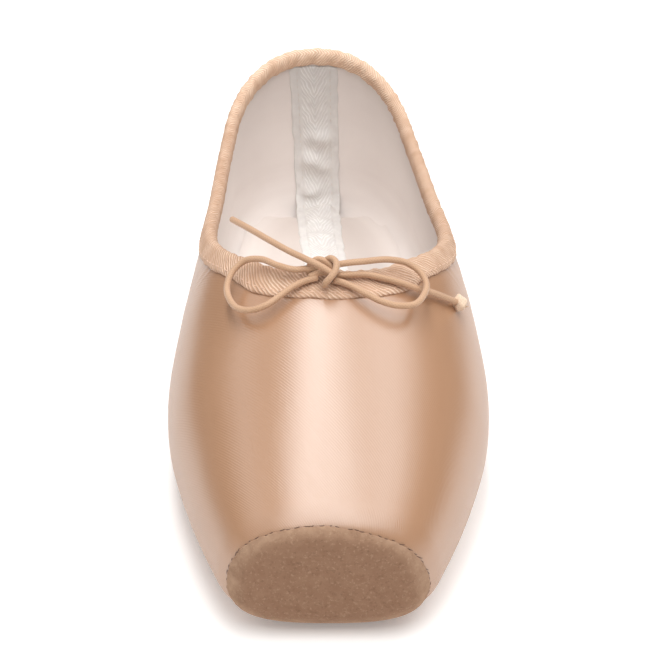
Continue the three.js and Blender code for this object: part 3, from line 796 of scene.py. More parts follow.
@dataclass
class Last:
    """The form of the shoe: superellipse sections along the foot, from the platform to the heel.

    A place on it is a station in mm from the platform, an angle round the section, from -90 degrees
    under the sole to 90 on top, and an inset inwards from the satin.
    """

    length: float = 235.0
    ball_width: float = 83.6
    instep_height: float = 90.0
    toe_rounding: float = 6.0
    toe_rounding_length: float = 7.0
    toe_zone: float = 30.0
    heel_start: float = 190.0
    heel_roundness: float = 2.3  # exponent of the heel's plan, 2 for an ellipse
    heel_drift: float = 4.0
    drift_start: float = 90.0
    lean_start: float = 165.0
    lean_middle: float = 24.0
    lean_above: Triple = (6.0, 38.0, 1.6)  # amount, reach and power
    lean_below: Triple = (5.0, 21.0, 2.5)
    lean_power: float = 1.5
    middle: float = 116.75  # station of the origin
    rows: tuple[LastRow, ...] = tuple(LastRow(*row) for row in (
        (0.0, 0.541, 0.338, 12.8, 2.3, 2.5, 2.8),
        (0.0425, 0.646, 0.373, 13.6, 2.5, 2.45, 2.45),
        (0.085, 0.737, 0.416, 14.4, 2.7, 2.35, 2.35),
        (0.153, 0.852, 0.487, 15.5, 3.0, 2.2, 2.5),
        (0.23, 0.952, 0.571, 17.0, 3.0, 2.1, 2.8),
        (0.315, 1.0, 0.658, 17.5, 3.0, 2.0, 3.0),
        (0.391, 0.986, 0.744, 18.0, 3.6, 2.0, 3.0),
        (0.477, 0.943, 0.822, 19.0, 5.0, 2.0, 3.0),
        (0.596, 0.847, 0.928, 21.0, 6.8, 2.0, 3.0),
        (0.723, 0.78, 1.0, 23.0, 5.6, 2.0, 3.0),
        (0.851, 0.71, 1.078, 24.0, 3.0, 2.0, 3.0),
        (1.0, 0.66, 1.111, 24.0, 3.0, 2.0, 3.0),
    ))
    curves: dict[str, Curve] = field(init=False)

    def __post_init__(self) -> None:
        """Draws a smooth curve through each column of the table."""
        stations = [row.along * self.length for row in self.rows]
        scales = {"width": self.ball_width / 2, "top": self.instep_height}
        self.curves = {
            name: smooth_curve(stations, [getattr(row, name) * scales.get(name, 1.0) for row in self.rows])
            for name in ("width", "top", "side", "floor", "above", "below")
        }

    def heel_round(self, share: Array) -> Array:
        """Plan of the heel: a quarter superellipse from 1 where it starts to 0 at its end."""
        return superellipse(share, self.heel_roundness)

    def section(self, station: Array, inset: Array) -> Section:
        """The section at stations, moved inwards by an inset.

        It shrinks by a quarter circle over the platform's rim, and its width by a superellipse round
        the heel.

        Args:
            station: Stations in mm.
            inset: Insets in mm.

        Returns:
            The section's sizes.
        """
        rim_length = self.toe_rounding_length - inset
        rim = np.clip((inset + rim_length - station) / rim_length, 0.0, 1.0)
        shrink = inset + (self.toe_rounding - inset) * (1.0 - np.sqrt(1.0 - rim * rim))
        heel = np.clip((station - self.heel_start) / (self.length - inset - self.heel_start), 0.0, 1.0)
        width, top, side, floor, above, below = [self.curves[name](station) for name in self.curves]
        half_width = (width - shrink) * self.heel_round(heel)
        return Section(half_width, side, top - side - shrink, side - floor - shrink, above, below)

    def offset_station(self, station: Array, inset: Array) -> Array:
        """Moves stations so that an offset surface passes the platform and the heel by its inset.

        Args:
            station: Stations in mm.
            inset: Insets in mm.

        Returns:
            The moved stations.
        """
        toe = inset + station * (self.toe_zone - inset) / self.toe_zone
        heel_share = (station - self.heel_start) / (self.length - self.heel_start)
        heel = self.heel_start + (self.length - inset - self.heel_start) * heel_share
        return np.where(station < self.toe_zone, toe, np.where(station > self.heel_start, heel, station))

    def point(self, station: Array, angle: Array, inset: Array) -> Array:
        """Points of the right half, before the shoe settles.

        Args:
            station: Stations in mm.
            angle: Angles round the section.
            inset: Insets in mm.

        Returns:
            Points with x to the right, y along the foot and z up.
        """
        station, angle, inset = np.broadcast_arrays(np.asarray(station, float), angle, inset)
        at = self.offset_station(station, inset)
        cut = self.section(at, inset)
        cosine, sine = np.abs(np.cos(angle)), np.sin(angle)
        cosine = np.where(cosine < SMALL, 0.0, cosine)
        power = np.where(sine >= 0.0, cut.above, cut.below)
        reach = (cosine**power + np.abs(sine) ** power) ** (-1.0 / power)
        height = cut.side + np.where(sine >= 0.0, cut.up, cut.down) * reach * sine
        return joined(cut.half_width * reach * cosine, at, height)

    def height(self, x: Array, station: Array, inset: Array, on_top: bool) -> Array:
        """Height of the last's top or underside over places on the floor.

        Args:
            x: Distances from the midplane.
            station: Stations in mm.
            inset: Insets in mm.
            on_top: Whether the top is meant.

        Returns:
            Heights in mm.
        """
        cut = self.section(self.offset_station(station, inset), inset)
        power = cut.above if on_top else cut.below
        share = np.clip(np.abs(x) / np.maximum(cut.half_width, SMALL), 0.0, 1.0)
        reach = superellipse(share, power)
        return cut.side + cut.up * reach if on_top else cut.side - cut.down * reach

    def angle_at_height(self, station: Array, height: Array) -> Array:
        """Angles of the surface at heights, for the steep sides.

        Args:
            station: Stations in mm.
            height: Heights in mm.

        Returns:
            Angles round the section.
        """
        cut = self.section(station, 0.0)
        above = height >= cut.side
        rise = (height - cut.side) / np.where(above, cut.up, cut.down)
        power = np.where(above, cut.above, cut.below)
        return np.arctan2(rise, superellipse(np.minimum(np.abs(rise), 1.0), power))

    def angle_of_point(self, points: Array) -> Array:
        """Angles of the surface under points, for the flat top."""
        cut = self.section(points[..., 1], 0.0)
        return np.arctan2((points[..., 2] - cut.side) / cut.up, points[..., 0] / cut.half_width)

    def settle(self, points: Array) -> Array:
        """Gives the empty shoe its stance: the heel's back line leans and the heel drifts sideways.

        Args:
            points: Points on either half.

        Returns:
            The same points in the shoe's frame, in mm.
        """
        x, y, z = np.moveaxis(points, -1, 0)
        behind = np.clip((y - self.lean_start) / (self.length - self.lean_start), 0.0, 1.0) ** self.lean_power
        rise = z - self.lean_middle
        over, under = [
            amount * (np.maximum(way, 0.0) / reach) ** power
            for way, (amount, reach, power) in ((rise, self.lean_above), (-rise, self.lean_below))
        ]
        drift = self.heel_drift * smoothstep(y, self.drift_start, self.length)
        return joined(x - drift, y - (over + under) * behind - self.middle, z)

    def half(self, points: Array, uv: Array, side: int, finish: int = 0) -> Patch:
        """A grid of the right half, or its mirror image, settled.

        Args:
            points: Grid of the right half.
            uv: Its cloth coordinates.
            side: 1 for the right half, -1 for the left.
            finish: Index of its finish.

        Returns:
            The grid, facing the same way on both sides.
        """
        points, uv = self.settle(points * np.array((side, 1.0, 1.0))), uv * np.array((side, 1.0))
        return Patch(points[::side], uv[::side], finish)

    def platform(self, ring: Array, count: int) -> Array:
        """The flat toe inside a ring of points: straight lines from its centre, in a number of rings."""
        centre = np.array((0.0, ring[0, 1], self.rows[0].side))
        return centre + (ring - centre) * np.linspace(0.0, 1.0, count)[:, None, None]


@dataclass
class Collar:
    """The edge of the opening, from the throat along the side to the heel."""

    last: Last
    rows: tuple[Pair, ...] = (  # station in mm, and angle above the widest line in degrees
        (71.0, 90.0), (72.2, 79.0), (75.2, 70.0), (80.9, 61.4), (86.9, 53.2),
        (96.0, 44.5), (112.0, 34.5), (137.0, 26.0), (167.0, 23.2), (194.0, 23.4),
        (214.0, 26.6), (227.0, 29.6), (233.2, 31.0), (235.0, 31.5),
    )
    heel_row: float = 9.0
    fan: float = 17.0  # how far the sections behind the throat lean back towards the sole
    station: Curve = field(init=False)
    angle: Curve = field(init=False)

    def __post_init__(self) -> None:
        """Draws the two smooth curves through the table."""
        order = range(len(self.rows))
        stations, angles = zip(*self.rows)
        self.station = smooth_curve(order, stations, (0.0, 0.0))
        self.angle = smooth_curve(order, np.radians(angles))

    @property
    def end(self) -> float:
        """The last row, on the back of the heel."""
        return float(len(self.rows) - 1)

    def fan_back(self, rows: Array) -> Array:
        """How far behind its collar point a section meets the sole: half a sine wave to the heel."""
        return self.fan * np.sin(math.pi * np.minimum(rows / self.heel_row, 1.0))

    def place(self, rows: Array, distance: Array, inset: Array) -> Array:
        """Points on the right half of the upper, by distance below the collar edge.

        From each edge point a straight step goes down the surface, square to the edge, and is then
        laid back on the section at the same station and depth.

        Args:
            rows: Places along the collar (n,).
            distance: Distances below the edge (n, m).
            inset: Insets from the satin (n, m).

        Returns:
            Points (n, m, 3) before the shoe settles.
        """
        step = 0.02
        station, angle = self.station(rows), self.angle(rows)
        edge = self.last.point(station, angle, 0.0)
        ahead, behind = [
            self.last.point(self.station(rows + way), self.angle(rows + way), 0.0) for way in (step, -step)
        ]
        along = unit(ahead - behind)
        along = np.where((rows < SMALL)[:, None], np.array((1.0, 0.0, 0.0)), along)
        along = np.where((rows > self.end - SMALL)[:, None], np.array((-1.0, 0.0, 0.0)), along)
        steep = angle < math.pi / 4
        over, under = [self.last.point(station, angle + way, 0.0) for way in (step, -step)]
        lengthwise = np.where(steep[:, None], along, self.last.point(station + step, angle, 0.0) - edge)
        outward = unit(np.cross(lengthwise, over - under))
        down = unit(np.cross(along, outward))
        points = edge[:, None] + down[:, None] * distance[..., None]
        at_height = self.last.angle_at_height(points[..., 1], points[..., 2])
        place = np.where(steep[:, None], at_height, self.last.angle_of_point(points))
        return self.last.point(points[..., 1], place, inset)

    def loop(self, count: int) -> tuple[Array, Array, Array]:
        """Even places round the whole edge, from the throat by the right side back to the throat.

        Args:
            count: Places on one side.

        Returns:
            Rows of the table, the side as 1 or -1, and the length from the throat in mm.
        """
        dense = np.linspace(0.0, self.end, 2000)
        line = self.last.point(self.station(dense), self.angle(dense), 0.0)
        length = distances(line)
        rows = np.interp(np.linspace(0.0, length[-1], count), length, dense)
        rows[-1] = self.end
        both = np.concatenate((rows, rows[-2::-1]))
        side = np.where(np.arange(len(both)) < count, 1.0, -1.0)
        return both, side, np.linspace(0.0, 2.0 * length[-1], len(both))


# Sub-assemblies


@dataclass
class SoleOutline:
    """Plan of the leather sole: half widths by station, with round ends."""

    front: float = 13.0
    back: float = 226.0
    front_round: float = 24.0
    back_round: float = 20.0
    stations: tuple[float, ...] = (13.0, 45.0, 72.0, 105.0, 145.0, 180.0, 205.0, 226.0)
    half_widths: tuple[float, ...] = (20.0, 25.0, 27.0, 21.0, 14.5, 16.5, 18.5, 19.0)
    half_width: Curve = field(init=False)

    def __post_init__(self) -> None:
        """Draws the curve through the table."""
        self.half_width = smooth_curve(self.stations, self.half_widths)

    def at(self, station: Array, inset: float) -> Array:
        """Half widths inside the outline: the curve, closed by an ellipse at each end.

        Args:
            station: Stations in mm.
            inset: How far inside the outline.

        Returns:
            Half widths in mm.
        """
        front = rounding(station - self.front - inset, self.front_round)
        back = rounding(self.back - inset - station, self.back_round)
        return (self.half_width(station) - inset) * front * back


class Seam(NamedTuple):
    """A sewn seam: a groove between two low ridges, in mm."""

    depth: float
    groove_width: float
    ridge_at: float
    ridge_width: float
    ridge_share: float = 0.6  # height of the ridges, of the groove's depth

    def relief(self, distance: Array) -> Array:
        """Height over the cloth at distances from the seam: a hump at the ridge less one at the groove."""
        ridge = self.ridge_share * bell(np.abs(distance), self.ridge_at, self.ridge_width)
        return self.depth * (ridge - bell(distance, 0.0, self.groove_width))


class Crease(NamedTuple):
    """A soft trough with low ridges beside it: its side, its middle, its turn and sizes in mm."""

    side: int
    station: float
    angle_deg: float
    turn_deg: float
    length: float
    width: float
    depth: float

    def relief(self, station: Array, upward: Array) -> Array:
        """Height over the cloth: a trough between two ridges across it, fading along it.

        Args:
            station: Stations of the grid.
            upward: Distances above the widest line, in mm of cloth.

        Returns:
            Relief in mm, outwards.
        """
        ahead = station - self.station
        cosine, sine = math.cos(math.radians(self.turn_deg)), math.sin(math.radians(self.turn_deg))
        along = (ahead * cosine + upward * sine) / self.length
        across = (upward * cosine - ahead * sine) / self.width
        return -self.depth * (1.0 - across**2) * np.exp(-(across**2) / CREASE_SPREAD - along**4)


@dataclass
class Upper:
    """Satin over a hardened canvas wall, with its cotton lining."""

    last: Last
    collar: Collar
    outline: SoleOutline
    feather_margin: float = 5.0  # the wall's lower edge lies this far inside the sole's outline
    toe_steps: int = 14
    vamp_steps: int = 92
    girth_rows: int = 84
    lining_rows: int = 34
    girth_crowd: float = 1.25  # rows crowd towards the sole, where the pleats are
    cloth_radius: float = 34.0  # mm of cloth for one radian round the section
    quarter_steps: int = 110
    heel_steps: int = 60
    platform_rings: int = 6
    seam_row: float = 6.35  # the side seam's place on the collar
    seam_row_mm: float = 25.0  # mm of collar for one row of the table there
    seam_reach: float = 3.6  # lines crowd this near to the seam, in mm
    seam_lines: int = 25
    side_seam: Seam = Seam(0.4, 0.45, 1.1, 0.8)
    back_seam: Seam = Seam(0.4, 0.5, 1.3, 0.9)
    back_seam_start: Pair = (215.0, 228.0)  # stations between which it comes in
    pleat_turn_deg: float = 8.0
    pleat_depth: float = 0.75
    pleat_sharp: float = 0.7  # exponent, less than 1 for sharp folds between broad pleats
    pleat_mean: float = 0.45
    pleats_from: Pair = (5.0, 12.0)  # stations between which they come in
    pleats_to: Pair = (17.0, 36.0)  # and go out
    pleats_above: Pair = (-62.0, -28.0)  # degrees round the section where they go out
    gathers: Waves = Waves(0.22, 11, 5.0, 11.0)
    gather_row_mm: float = 20.0  # mm of collar for one row of the table
    gather_reach: float = 8.0  # they fade over this length below the binding
    gather_rows: Pair = (3.0, 5.0)  # rows of the collar between which they come in
    lining_slack: Waves = Waves(0.25, 5, 14.0, 40.0)
    creases: tuple[Crease, ...] = tuple(Crease(*row) for row in (
        (1, 104.0, 4.0, 72.0, 17.0, 2.6, 0.5), (1, 116.0, -6.0, 64.0, 15.0, 2.2, 0.45),
        (1, 133.0, 2.0, 80.0, 14.0, 2.8, 0.4), (1, 152.0, -4.0, 96.0, 13.0, 2.4, 0.35),
        (-1, 100.0, 0.0, 70.0, 15.0, 2.4, 0.5), (-1, 119.0, 4.0, 76.0, 18.0, 2.8, 0.45),
        (-1, 139.0, -4.0, 86.0, 14.0, 2.3, 0.4), (-1, 158.0, 1.0, 100.0, 12.0, 2.6, 0.3),
        (1, 205.0, -2.0, 20.0, 15.0, 2.6, 0.3), (-1, 203.0, 3.0, -16.0, 16.0, 2.8, 0.3),
    ))

    def feather_angle(self, station: Array) -> Array:
        """Angle of the wall's lower edge: on the midline at both ends, inside the sole between them.

        Args:
            station: Stations in mm.

        Returns:
            Angles round the section.
        """
        cut = self.last.section(station, 0.0)
        share = self.outline.at(station, self.feather_margin) / np.maximum(cut.half_width, SMALL)
        open_here = share > SMALL
        share = np.clip(share, SMALL, 1.0)
        angle = np.arctan2(-superellipse(share, cut.below), share)
        return np.where(open_here, angle, -QUARTER_TURN)

    def lines(self) -> tuple[Array, Array, Array, Array]:
        """Lines over the wall from the sole to its upper edge, from the platform back to the heel.

        Returns:
            Station at the foot, station and angle at the top, and collar row (-1 in front of the throat).
        """
        throat = self.collar.rows[0][0]
        arc = self.last.toe_rounding_length
        toe = arc * (1.0 - np.cos(np.linspace(0.0, QUARTER_TURN, self.toe_steps + 1)))
        vamp = np.linspace(arc, throat, self.vamp_steps + 1)[1:]
        closed = np.concatenate((toe, vamp))
        near_seam = np.linspace(-self.seam_reach, self.seam_reach, self.seam_lines) / self.seam_row_mm
        quarter = np.linspace(0.0, self.collar.heel_row, self.quarter_steps + 1)[1:]
        heel = np.linspace(self.collar.heel_row, self.collar.end, self.heel_steps + 1)[1:]
        rows = np.unique(np.concatenate((quarter, heel, self.seam_row + near_seam)))
        top = np.concatenate((closed, self.collar.station(rows)))
        foot = np.concatenate((closed, self.collar.station(rows) + self.collar.fan_back(rows)))
        angle = np.concatenate((np.full(len(closed), QUARTER_TURN), self.collar.angle(rows)))
        return foot, top, angle, np.concatenate((np.full(len(closed), -1.0), rows))

    def relief(self, side: int, station: Array, angle: Array, rows: Array, below: Array) -> Array:
        """How far the satin stands out from the last.

        The sum of pleats under the toe (a cosine round the section, sharpened, in the stretch between
        the suede and the sole), gathers under the binding (a wandering line that fades downwards), side
        and back seams, and the placed creases.

        Args:
            side: 1 on the right half, -1 on the left.
            station: Stations of the grid.
            angle: Angles of the grid.
            rows: Collar row of each line (n, 1).
            below: Distance below the upper edge, in mm.

        Returns:
            Relief in mm, outwards.
        """
        turn = math.radians(self.pleat_turn_deg)
        fold = 1.0 - np.abs(np.sin((angle + QUARTER_TURN) * math.pi / turn)) ** self.pleat_sharp
        stretch = smoothstep(station, *self.pleats_from) * (1.0 - smoothstep(station, *self.pleats_to))
        under = 1.0 - smoothstep(np.degrees(angle), *self.pleats_above)
        total = self.pleat_depth * (fold - self.pleat_mean) * stretch * under
        fade = np.exp(-below / self.gather_reach) * smoothstep(rows, *self.gather_rows)
        total += self.gathers.at(rows * self.gather_row_mm) * fade
        total += np.where(rows >= 0.0, self.side_seam.relief((rows - self.seam_row) * self.seam_row_mm), 0.0)
        from_back = self.last.section(station, 0.0).half_width * np.cos(angle)
        total += smoothstep(station, *self.back_seam_start) * self.back_seam.relief(from_back)
        for crease in self.creases:
            if crease.side == side:
                total += crease.relief(station, (angle - math.radians(crease.angle_deg)) * self.cloth_radius)
        return total

    def wall(self, side: int, lined: bool) -> tuple[Array, Array]:
        """One face of the wall on one half: straight lines in station and angle, on the last.

        Args:
            side: 1 for the right half, -1 for the left.
            lined: Whether the inside is meant.

        Returns:
            Grid of points of the right half, before the shoe settles, and their cloth coordinates.
        """
        foot, top, top_angle, rows = self.lines()
        count = self.lining_rows if lined else self.girth_rows
        share = np.linspace(0.0, 1.0, count + 1) ** (1.0 if lined else self.girth_crowd)
        low = self.feather_angle(foot)[:, None]
        station = foot[:, None] + (top - foot)[:, None] * share
        angle = low + (top_angle[:, None] - low) * share
        uv = joined((QUARTER_TURN - angle) * self.cloth_radius, station)
        if lined:
            loose = self.lining_slack.at(station) * np.sin(math.pi * share) * (rows[:, None] > 0.0)
            return self.last.point(station, angle, WALL + loose), uv
        flat = self.last.point(station, angle, 0.0)
        below = distances(flat[:, ::-1])[:, ::-1]
        stands = self.relief(side, station, angle, rows[:, None], below)
        return self.last.point(station, angle, -stands), uv

    def build(self) -> None:
        """Makes the whole wall as one closed shell: satin, lining, the two edges and the platform."""
        patches: list[Patch] = []
        inner, inner_uv = self.wall(1, True)
        for side in SIDES:
            outer, uv = self.wall(side, False)
            patches.append(self.last.half(outer, uv, side))
            for end in (0, -1):
                opened = outer[:, end, 0] > SMALL
                beside = np.concatenate((opened[1:], (False,))) | np.concatenate(((False,), opened[:-1]))
                used = opened | beside
                rim = np.stack((outer[used, end], inner[used, end]), axis=1)
                rim_uv = np.stack((uv[used, end], uv[used, end] + np.array((WALL, 0.0))), axis=1)
                way = -1 if end == 0 else 1
                patches.append(self.last.half(rim[::way], rim_uv[::way], side))
            toe = self.last.platform(outer[0], self.platform_rings)
            patches.append(self.last.half(toe, toe[..., ::2], side))
        lined_toe = self.last.platform(inner[0], self.platform_rings)[::-1]
        for grid, uv in ((inner[::-1], inner_uv[::-1]), (lined_toe, lined_toe[..., ::2])):
            patches += [self.last.half(grid, uv, side, 1) for side in SIDES]
        make_piece("upper_satin", patches, (SATIN.material(), LINING.material()), ("upper",))


@dataclass
class SuedeTip:
    """Suede cap glued over the platform and on to its rounding."""

    last: Last
    thickness: float = 1.25
    edge_thickness: float = 0.65
    edge: tuple[Pair, ...] = (  # angle round the toe in degrees, station in mm
        (-90.0, 9.0), (-60.0, 6.0), (-30.0, 2.8), (0.0, 2.9), (30.0, 2.0), (60.0, 1.4), (90.0, 1.75))
    tilt: float = 0.35  # the edge reaches this much further on the left
    ragged: Waves = Waves(0.1, 21, 3.0, 13.0)  # its waves in degrees round the toe
    ragged_shift: float = 190.0  # where in these waves the left half begins
    lip: tuple[Pair, ...] = (  # how far the edge curls back, and its inset
        (0.14, -0.58), (0.24, -0.4), (0.24, -0.2), (0.12, -0.05))
    glue: float = 0.05  # between the suede and the satin
    girth_steps: int = 180
    back_steps: int = 25
    platform_rings: int = 28
    stitch_points: int = 400
    stitch_back: float = 0.3  # the stitches' line behind the edge
    stitch_insets: Pair = (-0.12, -0.9)  # of that line and of its raised copy

    def reach(self, angle: Array, side: int) -> Array:
        """Station of the suede's edge round the toe.

        A smooth curve through the table, plus a ragged line, and more on the left by the sine of twice
        the angle.

        Args:
            angle: Angles round the toe.
            side: 1 on the right half, -1 on the left.

        Returns:
            Stations in mm.
        """
        degrees = np.degrees(angle)
        curve = smooth_curve(*zip(*self.edge))
        ragged = self.ragged.at(degrees + self.ragged_shift * (side < 0))
        tilt = self.tilt * np.sin(2.0 * np.maximum(angle, 0.0))
        return curve(degrees) + ragged * np.sqrt(np.maximum(np.cos(angle), 0.0)) - side * tilt

    def build(self) -> None:
        """Makes the cap: outer face, rounded edge, inner face, and the platform of both."""
        angle = np.linspace(-QUARTER_TURN, QUARTER_TURN, self.girth_steps + 1)
        back = 1.0 - np.cos(np.linspace(0.0, QUARTER_TURN, self.back_steps + 1))[:, None]
        skin = -between((self.thickness, self.edge_thickness), back**3)
        patches = []
        for side in SIDES:
            edge = self.reach(angle, side)
            outer = self.last.point(edge * back, angle, skin)
            curl = np.stack([self.last.point(edge + out, angle, inset) for out, inset in self.lip])
            inner = self.last.point(edge * back[::-1], angle, -self.glue)
            front, rear = [self.last.platform(ring, self.platform_rings) for ring in (outer[0], inner[-1])]
            for grid in (front, np.concatenate((outer, curl, inner)), rear[::-1]):
                patches.append(self.last.half(grid, grid[..., ::2], side))
        make_piece("suede_cap", patches, (TIP_SUEDE.material(),), ("suede_tip",))

    def stitch_lines(self) -> list[tuple[Array, Array]]:
        """Lines for the stitches, along the edge.

        Returns:
            On each half the line, and the same line raised off the satin.
        """
        angle = np.linspace(-QUARTER_TURN, QUARTER_TURN, self.stitch_points)
        lines = []
        for side in SIDES:
            at = self.reach(angle, side) + self.stitch_back
            way = np.array((side, 1.0, 1.0))
            low, high = [
                self.last.settle(self.last.point(at, angle, inset) * way) for inset in self.stitch_insets
            ]
            lines.append((low, high))
        return lines


@dataclass
class Binding:
    """Herringbone tape folded over the collar edge, the casing of the drawstring."""

    last: Last
    collar: Collar
    outer_legs: Pair = (8.0, 5.0)  # at the throat and along the sides
    narrows: Pair = (1.0, 4.5)  # rows of the collar between which the outer leg narrows
    inner_leg: float = 2.9
    stand: float = 1.05  # outer face over the satin
    crown: float = 1.35  # top of the fold over the edge
    hug: float = 0.02  # between the tape's hidden face and the wall
    columns: int = 330
    profile_points: int = 46
    stitch_columns: int = 420
    stitch_margin: float = 1.1  # from the outer leg's edge
    stitch_insets: Pair = (-0.9, -1.6)  # of the sewn line and of its raised copy
    pucker: Waves = Waves(0.15, 31, 3.2, 9.0)
    throat_folds: Waves = Waves(0.5, 33, 1.9, 4.2)
    throat_reach: Pair = (-1.0, 9.0)  # middle and half length of the folded stretch
    heel_lumps: Waves = Waves(0.4, 34, 4.0, 12.0)
    heel_reach: float = 60.0
    lumps_across: Pair = (0.52, 0.72)  # the lumps come in between these shares of the width
    slants: Triple = (2.5, 3.0, -9.0)  # mm along, over the width, of the three kinds
    edge_wander: Waves = Waves(0.25, 37, 5.0, 21.0)

    def profile(self, leg: float) -> Array:
        """The tape's section as distance below the edge and inset, from the outer leg over to the inner.

        Args:
            leg: Width of the outer leg.

        Returns:
            Points (m, 2) on a smooth closed outline.
        """
        inside = WALL + self.stand
        shape = np.array((
            (leg, -self.hug), (leg + 0.15, -0.35), (leg - 0.1, -0.72), (leg - 0.8, -self.stand * 0.9),
            (leg * 0.7, -self.stand), (leg * 0.45, -self.stand), (leg * 0.2, -self.stand * 1.02),
            (0.0, -self.stand * 0.9), (-self.crown * 0.72, -self.stand * 0.25), (-self.crown, WALL / 2),
            (-self.crown * 0.72, WALL + self.stand * 0.25), (0.0, WALL + self.stand * 0.9),
            (self.inner_leg * 0.3, inside), (self.inner_leg * 0.7, inside),
            (self.inner_leg - 0.15, WALL + 0.65), (self.inner_leg, WALL + self.hug),
        ))
        return even_line(shape, self.profile_points)

    def gather(self, along: Array, share: Array, total: float) -> Array:
        """How far the tape puckers out.

        Small wandering waves everywhere, close folds at the throat and broad lumps on the inner leg round
        the heel, all fading towards the tape's two edges.

        Args:
            along: Length round the edge from the throat (n, 1).
            share: Place across the tape from 0 to 1 (1, m).
            total: Length of the whole edge.

        Returns:
            Relief in mm (n, m).
        """
        from_throat = np.minimum(along, total - along)
        from_heel = np.abs(along - total / 2)
        side = np.where(along < total / 2, from_throat, -from_throat)
        small, close, broad = [slant * share for slant in self.slants]
        folds = bell(side, *self.throat_reach) * self.throat_folds.at(side + close)
        lumps = bell(from_heel, 0.0, self.heel_reach) * self.heel_lumps.at(along + broad, total)
        lumps = lumps * smoothstep(share, *self.lumps_across)
        fade = np.sin(math.pi * np.clip(share, 0.0, 1.0)) ** 0.4
        return (self.pucker.at(along + small, total) + folds + lumps) * fade

    def build(self) -> None:
        """Carries the section round the edge, puckers it, and closes it on the wall's side."""
        rows, side, along = self.collar.loop(self.columns)
        throat, sides = [self.profile(leg) for leg in self.outer_legs]
        shape = between((throat, sides), smoothstep(rows, *self.narrows)[:, None, None])
        across = distances(shape)
        out = np.gradient(shape, axis=1)
        out = unit(joined(-out[..., 1], out[..., 0]))
        face = shape - out * self.gather(along[:, None], across / across[:, -1:], along[-1])[..., None]
        at_edge = np.linspace(1.0, 0.0, self.profile_points) ** 6
        face[..., 0] += self.edge_wander.at(along, along[-1])[:, None] * at_edge
        inside = WALL + self.hug
        hidden = np.array(((self.inner_leg - 0.3, inside), (0.0, inside), (-0.12, WALL - 0.2), (-0.12, 0.2),
                           (0.0, -self.hug), (self.outer_legs[1] - 0.6, -self.hug)))
        back = np.broadcast_to(hidden, (len(rows), *hidden.shape))
        ring = np.concatenate((face, back, face[:, :1]), axis=1)
        points = self.collar.place(rows, ring[..., 0], ring[..., 1])
        points[..., 0] *= side[:, None]
        crown = int(np.argmin(throat[:, 0]))
        v = across[:, crown : crown + 1] - across
        v = np.concatenate((v, np.repeat(v[:, -1:], len(hidden), axis=1), v[:, :1]), axis=1)
        patch = Patch(self.last.settle(points), joined(-along[:, None], v))
        make_piece("collar_tape", [patch], (BINDING_TWILL.material(),), ("collar_binding",))

    def stitch_line(self) -> tuple[Array, Array]:
        """A line round the tape inside its lower edge, and the same line raised off it.

        Returns:
            The two lines (n, 3) in the shoe's frame.
        """
        rows, side, _ = self.collar.loop(self.stitch_columns)
        turn = joined(side, 1.0, 1.0)
        at = (between(self.outer_legs, smoothstep(rows, *self.narrows)) - self.stitch_margin)[:, None]
        low, high = [self.collar.place(rows, at, inset)[:, 0] * turn for inset in self.stitch_insets]
        return self.last.settle(low), self.last.settle(high)


class TapeFold(NamedTuple):
    """A soft hump of the loose tape: its place along and across, its sizes and its height in mm."""

    along: float
    across: float
    long: float
    wide: float
    height: float


